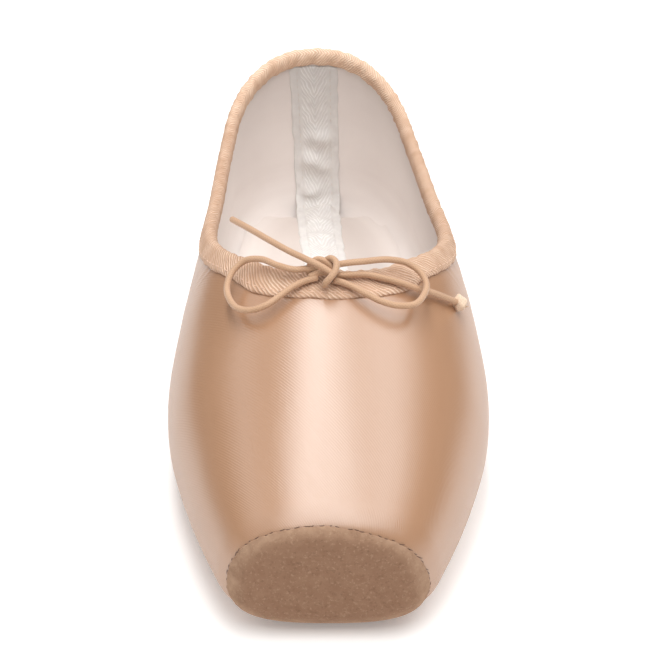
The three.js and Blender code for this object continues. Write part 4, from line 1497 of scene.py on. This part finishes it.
@dataclass
class HeelTape:
    """White tape sewn over the inside of the back seam and on over the board."""

    last: Last
    collar: Collar
    widths: Pair = (15.8, 13.0)  # at its upper end and at its front end
    sides: Pair = (-1.0, 2.6)  # it runs a little aslant of the midline
    thickness: float = 0.5
    rest: float = 0.03  # over the lining and the board
    top_drop: float = 3.5  # below the collar edge
    corner: float = 4.5  # radius of its bend from the heel on to the board
    front: float = 150.0
    board_inset: float = 2.8  # underside of the board, from the satin
    board_thickness: float = 2.0
    columns: int = 81
    lines: int = 300
    column_crowd: float = 0.8  # exponent, less than 1 to crowd the columns towards the selvages
    edge_round: float = 0.9  # the selvages and the front end thin out over this length
    top_round: float = 0.5  # and the upper end over this one
    least: float = 0.1  # thickness that is left everywhere
    stitch_inset: float = 2.5
    stitch_stretch: Pair = (0.01, 0.4)  # shares of the length between which it is sewn
    stitch_lifts: Pair = (0.34, 1.0)  # of the sewn line and of its raised copy
    stitch_points: int = 200
    groove: float = 0.2  # depth of the sewn line
    groove_width: float = 0.4
    hem: Waves = Waves(0.12, 43, 2.6, 6.0)  # how the selvages waver up and down
    hem_reach: Pair = (0.6, 2.6)
    wander: Waves = Waves(0.03, 45, 6.0, 19.0)  # and sideways, as a share of the half width
    held: Pair = (0.5, 3.3)  # from the selvage, between which the folds come in
    right_shift: Pair = (9.0, 40.0)  # where in these two waves the right selvage begins
    folds: tuple[TapeFold, ...] = tuple(TapeFold(*row) for row in (
        (27.0, 2.0, 3.2, 4.2, 2.3), (35.0, -2.2, 2.8, 3.6, 2.6), (37.5, 2.4, 2.8, 3.0, 1.6),
        (46.0, -2.4, 2.8, 3.6, 2.8), (56.0, 2.2, 3.6, 4.0, 2.6), (67.0, -0.5, 4.0, 5.0, 2.4),
        (79.0, 0.6, 4.4, 5.0, 1.8),
    ))

    def board(self, x: Array, station: Array) -> Array:
        """Height of the board's top over places on the floor."""
        return self.last.height(x, station, self.board_inset, False) + self.board_thickness

    def line(self, share: Array) -> tuple[Array, Array, Array]:
        """The midline: straight down the back of the heel, a quarter circle, then along the board.

        Args:
            share: Share of the way from the upper end to the front end.

        Returns:
            Station, height, and turn from upright to lying flat, before the shoe settles.
        """
        high, low = self.heights()
        along = share * self.length()
        turn = np.clip((along - high + low) / self.corner, 0.0, QUARTER_TURN)
        ahead = np.maximum(along - (high - low) - QUARTER_TURN * self.corner, 0.0)
        station = self.back() - self.corner * (1.0 - np.cos(turn)) - ahead
        bent = high - np.minimum(along, high - low) - self.corner * np.sin(turn)
        flat = self.board(np.zeros_like(station), station) + self.rest
        return station, np.where(ahead > 0.0, flat, bent), turn

    def back(self) -> float:
        """Station of the upright stretch."""
        return self.last.length - WALL - self.rest

    def heights(self) -> Pair:
        """Where the upright stretch begins and ends.

        Returns:
            Heights of the tape's upper end and of the start of its bend.
        """
        end = np.full(1, self.collar.end)
        high = self.last.point(self.collar.station(end), self.collar.angle(end), WALL)[0, 2] - self.top_drop
        low = self.board(np.zeros(1), np.full(1, self.back() - self.corner))[0] + self.rest + self.corner
        return float(high), float(low)

    def length(self) -> float:
        """Length of the midline: its upright stretch, a quarter circle and the stretch on the board."""
        high, low = self.heights()
        return high - low + QUARTER_TURN * self.corner + self.back() - self.corner - self.front

    def surface(self, across: Array, share: Array, lift: Array) -> Array:
        """Points of the tape by share across, share along and lift from the lining.

        On the heel the tape bows with the half ellipse of the wall; on the board it rises with the
        board's hollow.

        Args:
            across: From -1 to 1 over the width.
            share: Share of the way along.
            lift: Distance from the midline's surface, in mm.

        Returns:
            Points in the shoe's frame.
        """
        station, height, turn = self.line(share)
        x = between(self.sides, share) + across * between(self.widths, share) / 2
        half = self.last.curves["width"](np.full(1, self.last.length))[0] - WALL - self.rest
        angle = self.last.angle_at_height(np.full_like(height, self.last.length), height)
        bend = 1.0 - self.last.heel_round(np.clip(np.abs(x) / (half * np.cos(angle)), 0.0, 1.0))
        bow = (self.back() - self.last.heel_start) * bend
        rise = self.board(x, station) - self.board(np.zeros_like(x), station)
        upright, flat = np.cos(turn), np.sin(turn)
        points = joined(x, station - (bow + lift) * upright, height + (rise + lift) * flat)
        return self.last.settle(points)

    def build(self) -> None:
        """Makes the tape: thin edges, sewn grooves, and soft humps where it lies loose."""
        spread = np.linspace(-1.0, 1.0, self.columns)
        crowded = np.sign(spread) * np.abs(spread) ** self.column_crowd
        across, share = np.broadcast_arrays(crowded, np.linspace(0.0, 1.0, self.lines)[:, None])
        total = self.length()
        along = share * total
        half = between(self.widths, share) / 2
        from_side = half * (1.0 - np.abs(across))
        edge = rounding(np.minimum(from_side, total - along), self.edge_round)
        edge = edge * rounding(along, self.top_round)
        groove = self.groove * bell(from_side, self.stitch_inset, self.groove_width)
        x = across * half
        humps = sum(fold.height * bell(along, fold.along, fold.long) * bell(x, fold.across, fold.wide)
                    for fold in self.folds) * smoothstep(from_side, *self.held)
        hem_at, wander_at = [along + shift * (across > 0.0) for shift in self.right_shift]
        hem = self.hem.at(hem_at) * (1.0 - smoothstep(from_side, *self.hem_reach))
        lift = edge * np.maximum(self.thickness - groove + humps + hem, self.least)
        wander = across + self.wander.at(wander_at) * np.abs(across) ** 3
        uv = joined(along, x)
        front, rear = [self.surface(wander, share, level) for level in (lift, 0.0)]
        patches = [Patch(front, uv), Patch(rear[::-1], uv[::-1])]
        make_piece("heel_tape_woven", patches, (TAPE_COTTON.material(),), ("heel_tape",))

    def stitch_lines(self) -> list[tuple[Array, Array]]:
        """Lines for the stitches, along the selvages on the heel.

        Returns:
            Along each selvage the line, and the same line raised into the shoe.
        """
        share = np.linspace(*self.stitch_stretch, self.stitch_points)
        half = between(self.widths, share) / 2
        lines = []
        for side in SIDES[::-1]:
            across = side * (1.0 - self.stitch_inset / half)
            low, high = [self.surface(across, share, lift) for lift in self.stitch_lifts]
            lines.append((low, high))
        return lines


@dataclass
class Soles:
    """The leather sole under the shoe and the covered board inside it."""

    last: Last
    outline: SoleOutline
    columns: int = 61
    sole_lines: int = 220
    board_lines: int = 200
    gap: float = 0.05
    sole_thickness: float = 3.2
    sole_base: float = 0.3  # the thickness is measured from this far outside the satin
    sole_round: float = 1.1
    toe_spring: float = 1.2
    toe_spring_start: float = 32.0
    channel_inset: float = 3.6
    channel_depth: float = 0.35
    channel_width: float = 0.5
    insole_thickness: float = 2.0
    insole_front: float = 10.0
    insole_back: float = 229.0
    insole_back_round: float = 11.0
    insole_share: float = 0.9
    insole_gap: float = 0.8
    insole_feather: float = 8.0
    insole_cover: float = 0.1  # thickness of the cover where it leaves the board
    insole_rest: float = 0.15  # of the cover's edge over the lining
    insole_round: float = 0.3

    def sheet(self, name: str, stations: Array, half_width: Array, heights: Callable, round_mm: float,
              finish: Finish, node: str) -> None:
        """A thin sheet over the floor whose edge is rounded all the way round.

        Top and underside draw together towards the outline as a quarter circle does.

        Args:
            name: The piece's name.
            stations: Stations of its cross lines (n,).
            half_width: Half width at each (n,).
            heights: Function of x, station and distance from the outline to top and underside.
            round_mm: Radius of the edge.
            finish: Its finish.
            node: The CAD node that it replaces.
        """
        share = np.sin(np.linspace(-QUARTER_TURN, QUARTER_TURN, self.columns))
        x = half_width[:, None] * share
        station = np.broadcast_to(stations[:, None], x.shape)
        from_side = half_width[:, None] - np.abs(x)
        from_edge = np.minimum(from_side, np.minimum(station - stations[0], stations[-1] - station))
        top, under = heights(x, station, from_edge)
        edge = rounding(from_edge, round_mm)
        middle = (top + under) / 2
        uv = joined(x, from_edge)
        over, below = [
            self.last.settle(joined(x, station, middle + (level - middle) * edge)) for level in (top, under)
        ]
        patches = [Patch(over[::-1], uv[::-1]), Patch(below, uv)]
        make_piece(name, patches, (finish.material(),), (node,))

    def rounded_stations(self, front: float, back: float, count: int) -> Array:
        """Stations that crowd towards both ends, by a cosine."""
        return front + (back - front) * (1.0 - np.cos(np.linspace(0.0, math.pi, count))) / 2

    def sole_heights(self, x: Array, station: Array, from_edge: Array) -> tuple[Array, Array]:
        """Top against the wall; underside flat on the floor, with toe spring and a sewn channel.

        Args:
            x: Distances from the midplane.
            station: Stations in mm.
            from_edge: Distances from the outline.

        Returns:
            Heights of top and underside.
        """
        top, base = [self.last.height(x, station, -out, False) for out in (self.gap, self.sole_base)]
        spring = self.toe_spring * (1.0 - smoothstep(station, self.outline.front, self.toe_spring_start))
        channel = self.channel_depth * bell(from_edge, self.channel_inset, self.channel_width)
        return top, np.maximum(0.0, base - self.sole_thickness) + spring + channel

    def board_heights(self, x: Array, station: Array, from_edge: Array) -> tuple[Array, Array]:
        """A board in the hollow of the wall, feathered so that its cover's edge lies on the wall.

        Args:
            x: Distances from the midplane.
            station: Stations in mm.
            from_edge: Distances from the outline.

        Returns:
            Heights of top and underside.
        """
        inward = smoothstep(from_edge, 0.0, self.insole_feather)
        inset = WALL + between((self.insole_rest, self.insole_gap), inward)
        under = self.last.height(x, station, inset, False)
        return under + between((self.insole_cover, self.insole_thickness), inward), under

    def build(self) -> None:
        """Makes both soles."""
        stations = self.rounded_stations(self.outline.front, self.outline.back, self.sole_lines)
        half = self.outline.at(stations, 0.0)
        self.sheet("leather_sole", stations, half, self.sole_heights, self.sole_round, SOLE,
                   "outsole")
        stations = self.rounded_stations(self.insole_front, self.insole_back, self.board_lines)
        inset = WALL + self.insole_gap
        inside = self.last.section(self.last.offset_station(stations, inset), inset).half_width
        half = self.insole_share * inside * rounding(self.insole_back - stations, self.insole_back_round)
        self.sheet("covered_board", stations, half, self.board_heights, self.insole_round, INSOLE_COTTON,
                   "insole")


class Cord(NamedTuple):
    """One stretch of the bow: its node, its route as x, station and lift, and what is at its far end."""

    node: str
    far_end: str
    route: tuple[Triple, ...]


@dataclass
class Bow:
    """The drawstring's bow: two loops, two ends, the knot and the frayed knot on the right end."""

    last: Last
    diameter: float = 1.65
    sides: int = 16
    step: float = 0.3
    least_points: int = 12
    wrap_share: float = 1.02  # thickness of the outer strand, of the cord's
    upward: Triple = (0.0, -0.36, 0.93)  # square to the vamp
    cords: tuple[Cord, ...] = (
        Cord("bow_loop_left", "object", (
            (-2.2, 69.0, 3.6), (-5.4, 69.2, 3.7), (-8.0, 69.1, 3.9), (-12.5, 71.2, 4.2), (-17.0, 74.8, 4.4),
            (-21.3, 76.5, 4.4), (-24.0, 75.2, 4.4), (-25.4, 71.5, 4.2), (-24.6, 66.5, 4.0), (-22.2, 62.0, 3.8),
            (-19.0, 60.0, 3.6), (-15.0, 60.4, 3.4), (-11.5, 63.0, 3.0), (-8.4, 65.4, 2.7), (-5.4, 66.8, 2.6),
            (-2.4, 67.4, 2.6))),
        Cord("bow_loop_right", "object", (
            (1.2, 68.6, 4.9), (3.8, 69.2, 5.0), (9.0, 70.8, 4.9), (15.6, 73.5, 4.8), (20.0, 74.3, 4.9),
            (23.0, 72.8, 5.2), (24.4, 69.5, 5.5), (23.6, 65.5, 5.2), (21.3, 61.9, 4.6), (17.3, 60.2, 4.0),
            (13.0, 60.8, 3.4), (9.0, 62.8, 3.0), (6.2, 64.6, 2.7), (3.8, 65.8, 2.6), (1.2, 66.6, 2.6))),
        Cord("bow_end_left", "bare", (
            (1.6, 65.4, 4.8), (-1.6, 66.8, 6.0), (-5.5, 69.2, 6.3), (-9.6, 73.0, 5.8), (-14.8, 78.4, 5.6),
            (-20.0, 84.6, 5.6), (-25.2, 92.2, 5.6))),
        Cord("bow_end_right", "knot", (
            (0.8, 68.2, 2.5), (3.8, 68.4, 2.5), (9.0, 69.4, 2.5), (15.6, 69.8, 2.4), (22.2, 70.9, 2.3),
            (26.6, 73.2, 2.0), (31.2, 76.6, 1.6), (33.0, 77.9, 1.8))),
    )
    hump: tuple[Triple, ...] = (
        (-5.0, 68.8, 2.4), (-4.6, 70.2, 3.7), (-2.9, 70.7, 4.7), (-0.8, 69.8, 4.9), (1.3, 68.4, 4.2),
        (2.2, 67.8, 3.0))
    wrap: tuple[Triple, ...] = (
        (-1.6, 69.4, 2.6), (-1.0, 70.4, 4.2), (0.5, 69.6, 5.9), (1.9, 67.4, 6.6), (1.7, 65.4, 6.2),
        (0.4, 64.2, 5.2), (-0.7, 64.1, 3.9), (-0.9, 64.9, 2.4))
    tuck: tuple[Triple, ...] = (
        (-5.0, 67.4, 2.8), (-3.4, 67.9, 3.1), (-1.6, 68.2, 3.3), (0.2, 67.9, 3.4), (1.8, 66.9, 2.9))
    fray_at: Triple = (33.6, 78.4, 1.9)
    fray_ahead: Triple = (0.75, 0.55, -0.35)  # the way that the end points
    fray_half_length: float = 1.5
    fray_radius: float = 2.1
    fray_lumps: tuple[Triple, ...] = (  # height, and waves round it and along it
        (0.1, 3.0, 4.0), (0.07, 5.0, -3.0))
    fray_grid: tuple[int, int] = (25, 33)
    fibres: int = 60
    fibre_seed: int = 71
    fibre_ahead: float = 0.9  # how much of the end's own way is in a fibre's
    fibre_spread: float = 0.75
    fibre_bend: float = 0.35
    fibre_start: float = 1.1  # from the middle of the knot
    fibre_lengths: Pair = (0.8, 1.5)
    fibre_radius: float = 0.13
    fibre_grid: tuple[int, int] = (5, 6)
    fibre_side: Triple = (0.3, 0.5, 0.8)  # a way that no fibre takes

    def on_vamp(self, route: Sequence[Triple]) -> Array:
        """Turns places given as x, station and lift over the satin into points of the shoe's frame."""
        x, station, lift = np.array(route).T
        return self.last.settle(joined(x, station, self.last.height(x, station, -lift, True)))

    def over_vamp(self, route: Sequence[Triple]) -> Array:
        """A route over the satin as an even line of points.

        Args:
            route: Points as x, station and lift over the satin.

        Returns:
            Points (n, 3) in the shoe's frame.
        """
        knots = self.on_vamp(route)
        return even_line(knots, max(int(distances(knots)[-1] / self.step), self.least_points))

    def build(self) -> None:
        finish = CORD.material()
        radius = self.diameter / 2
        strands = [
            tube(self.over_vamp(route), radius, self.sides, self.upward) for route in (self.hump, self.tuck)
        ]
        strands.append(tube(self.over_vamp(self.wrap), radius * self.wrap_share, self.sides, (1.0, 0.0, 0.0)))
        knot = make_piece("bow_knot_strands", strands, (finish,), ("bow_knot",))
        fray = self.build_fray()
        for cord in self.cords:
            path = self.over_vamp(cord.route)
            piece = make_piece(f"{cord.node}_braid", [tube(path, radius, self.sides, self.upward)], (finish,),
                               (cord.node,))
            LOG.info("%s: cord %.1f mm long", cord.node, distances(path)[-1])

    def fray_ball(self, centre: Array, ahead: Array) -> Patch:
        """The small knot at the right end: a lumpy ball whose radius wavers with both angles.

        Args:
            centre: Its middle.
            ahead: The way that the cord's end points.

        Returns:
            The ball.
        """
        across = unit(np.cross(ahead, np.asarray(self.upward)))
        tilt = np.linspace(math.pi, 0.0, self.fray_grid[0])[:, None]
        turn = np.linspace(0.0, FULL_TURN, self.fray_grid[1])
        lumps = sum(high * np.sin(around * turn + along * tilt) for high, around, along in self.fray_lumps)
        out = self.fray_radius * np.sin(tilt) * (1.0 + lumps * np.sin(tilt))
        sideways = circle(across, np.cross(across, ahead), turn) * out[..., None]
        points = centre + ahead * (self.fray_half_length * np.cos(tilt))[..., None] + sideways
        return Patch(points, joined(turn, tilt) * self.fray_half_length)

    def fray_fibres(self, centre: Array, ahead: Array) -> Patch:
        """A tuft of fibres: thin cones along seeded ways, each bent by the square of the way along.

        Args:
            centre: The middle of the knot.
            ahead: The way that the cord's end points.

        Returns:
            The fibres.
        """
        rng = np.random.default_rng(self.fibre_seed)
        way = unit(ahead * self.fibre_ahead + rng.normal(0.0, self.fibre_spread, (self.fibres, 3)))
        bend = rng.normal(0.0, self.fibre_bend, (self.fibres, 3))
        long = rng.uniform(*self.fibre_lengths, self.fibres)[:, None, None]
        share = np.linspace(1.0, 0.0, self.fibre_grid[0])[:, None]
        turn = np.linspace(0.0, FULL_TURN, self.fibre_grid[1])
        line = centre + way[:, None] * (self.fibre_start + share * long) + bend[:, None] * share**2
        beside = unit(np.cross(way, np.array(self.fibre_side)))
        thick = self.fibre_radius * (1.0 - share**2) * (share > 0.0)
        points = line[:, :, None] + circle(beside, np.cross(way, beside), turn)[:, None] * thick[:, None]
        return Patch(points, joined(turn, share))

    def build_fray(self) -> Piece:
        """Makes the frayed knot.

        Returns:
            The piece.
        """
        centre, ahead = self.on_vamp((self.fray_at,))[0], unit(np.array(self.fray_ahead))
        patches = [self.fray_ball(centre, ahead), self.fray_fibres(centre, ahead)]
        return make_piece("bow_end_fray", patches, (FRAY.material(),), ("bow_end_knot",))


@dataclass(frozen=True)
class Stitching:
    """A row of sewn stitches, each one a short arched thread with sunk ends; sizes in mm."""

    name: str
    slot: str
    finish: Thread
    step: float  # from stitch to stitch
    length: float
    radius: float
    uneven: float  # how much places, lengths and turns of the stitches differ, as a share
    turned: float = 0.4  # how far the most uneven stitch turns aside
    sunk: float = 1.7  # how far the ends sink, in radii below the top
    seed: int = 53
    rings: int = 7
    sides: int = 6

    def sew(self, line: Array, raised: Array, rng: np.random.Generator) -> Patch:
        """Stitches along one line.

        A stitch's height over its line is a parabola, and its radius shrinks to nothing at both ends.

        Args:
            line: The line (n, 3).
            raised: Its raised copy, which gives the way outwards.
            rng: Draws what is uneven.

        Returns:
            The stitches.
        """
        along = distances(line)
        at = np.arange(self.step / 2, along[-1], self.step)
        at = at + self.step * self.uneven * rng.uniform(-0.5, 0.5, len(at))
        long = self.length * (1.0 + self.uneven * rng.uniform(-1.0, 1.0, len(at)))
        place, over, ahead = [
            np.stack([np.interp(at, along, column) for column in values.T], axis=-1)
            for values in (line, raised - line, np.gradient(line, axis=0))
        ]
        out, way = unit(over), unit(ahead)
        aside = self.turned * self.uneven * rng.uniform(-1.0, 1.0, len(at))
        way = unit(way + unit(np.cross(way, out)) * aside[:, None])
        share = np.linspace(-1.0, 1.0, self.rings)
        thick = self.radius * (1.0 - share**4)
        lift = self.radius * (1.0 - self.sunk * share**2)
        turn = np.linspace(0.0, FULL_TURN, self.sides + 1)
        reach = long[:, None] * share / 2
        spine = place[:, None] + way[:, None] * reach[..., None] + out[:, None] * lift[:, None]
        ring = circle(unit(np.cross(way, out)), out, turn)
        uv = joined(turn * self.radius, (share * self.length / 2)[:, None])
        return Patch(spine[:, :, None] + ring[:, None] * thick[:, None, None], uv)

    def build(self, lines: Sequence[tuple[Array, Array]]) -> None:
        """Sews the row along lines with their raised copies.

        Args:
            lines: The lines.
        """
        rng = np.random.default_rng(self.seed)
        patches = [self.sew(line, raised, rng) for line, raised in lines]
        make_piece(self.name, patches, (self.finish.material(),))


OVERCAST = Stitching("tip_overcast", "suede", BROWN_THREAD, step=1.9, length=1.2, radius=0.11, uneven=0.6)
BINDING_ROW = Stitching("binding_stitches", "binding_twill", PEACH_THREAD, step=2.7, length=2.0, radius=0.15,
                        uneven=0.1)
TAPE_ROW = Stitching("heel_tape_stitches", "cotton_tape", WHITE_THREAD, step=2.6, length=1.5, radius=0.13,
                     uneven=0.2)


# The picture


class Lamp(NamedTuple):
    """A soft light: its name, where it stands in metres, its width and length, and its power in watts."""

    name: str
    place: Triple
    size: Pair
    watts: float
    glossy: bool = True  # whether it shows in the gloss of the satin


@dataclass
class Studio:
    """A pale floor, soft lights overhead and the camera in front of the toe."""

    eye: Triple = (0.0, -0.44675, 0.25)
    pitch_deg: float = 27.2
    focal_px: float = 1780.0
    frame_px: float = 651.0
    centre_px: float = 328.5  # where the shoe's midplane stands in the frame
    sensor_mm: float = 36.0
    floor_size: float = 6.0
    sky: float = 0.14  # strength of the white light from all round
    target: Triple = (0.0, -0.03, 0.03)
    lamps: tuple[Lamp, ...] = (
        Lamp("overhead_strip", (-0.085, -0.1, 1.15), (0.3, 1.9), 13.0),
        Lamp("right_softbox", (0.51, -0.1, 1.05), (0.62, 1.9), 10.0),
        Lamp("left_softbox", (-0.85, -0.1, 0.95), (0.45, 1.9), 3.2),
        Lamp("front_fill", (0.0, -1.2, 0.95), (1.3, 0.8), 2.0, False),
    )

    def build_camera(self) -> None:
        """Sets the camera in front of the toe, looking down on it."""
        lens = bpy.data.cameras.new("camera")
        lens.sensor_width = self.sensor_mm
        lens.lens = self.focal_px / self.frame_px * self.sensor_mm
        lens.shift_x = (self.frame_px / 2 - self.centre_px) / self.frame_px
        camera = put("camera", lens)
        camera.location = self.eye
        camera.rotation_euler = (math.radians(90.0 - self.pitch_deg), 0.0, 0.0)
        bpy.context.scene.camera = camera

    def build(self) -> None:
        """Makes the floor and the lights."""
        half = self.floor_size / 2
        mesh = bpy.data.meshes.new("floor")
        corners = [(-half, -half, 0), (half, -half, 0), (half, half, 0), (-half, half, 0)]
        mesh.from_pydata(corners, [], [(0, 1, 2, 3)])
        mesh.materials.append(FLOOR_PAINT.material())
        put("floor", mesh)
        for lamp in self.lamps:
            light = bpy.data.lights.new(lamp.name, "AREA")
            light.shape = "RECTANGLE"
            light.size, light.size_y = lamp.size
            light.energy = lamp.watts
            holder = put(lamp.name, light)
            holder.location = lamp.place
            holder.visible_glossy = lamp.glossy
            way = np.array(self.target) - np.array(lamp.place)
            pan = math.atan2(way[0], -way[2])
            tilt = math.atan2(way[1], math.hypot(way[0], way[2]))
            holder.rotation_euler = (tilt, -pan, 0.0)
        world = bpy.data.worlds.new("studio")
        world.use_nodes = True
        tree = world.node_tree
        wire(tree, tree.nodes["Background"], {"Color": linear("#ffffff"), "Strength": self.sky})
        bpy.context.scene.world = world
        bpy.context.scene.view_settings.view_transform = "Standard"


def main() -> None:
    """Builds the shoe piece by piece."""
    logging.basicConfig(level=logging.INFO, format="%(name)s %(message)s")
    last = Last()
    collar = Collar(last)
    outline = SoleOutline()
    studio = Studio()
    studio.build_camera()
    Bow(last).build()
    Upper(last, collar, outline).build()
    tip = SuedeTip(last)
    tip.build()
    binding = Binding(last, collar)
    binding.build()
    tape = HeelTape(last, collar)
    tape.build()
    Soles(last, outline).build()
    OVERCAST.build(tip.stitch_lines())
    BINDING_ROW.build([binding.stitch_line()])
    TAPE_ROW.build(tape.stitch_lines())
    studio.build()


if __name__ == "__main__":
    main()
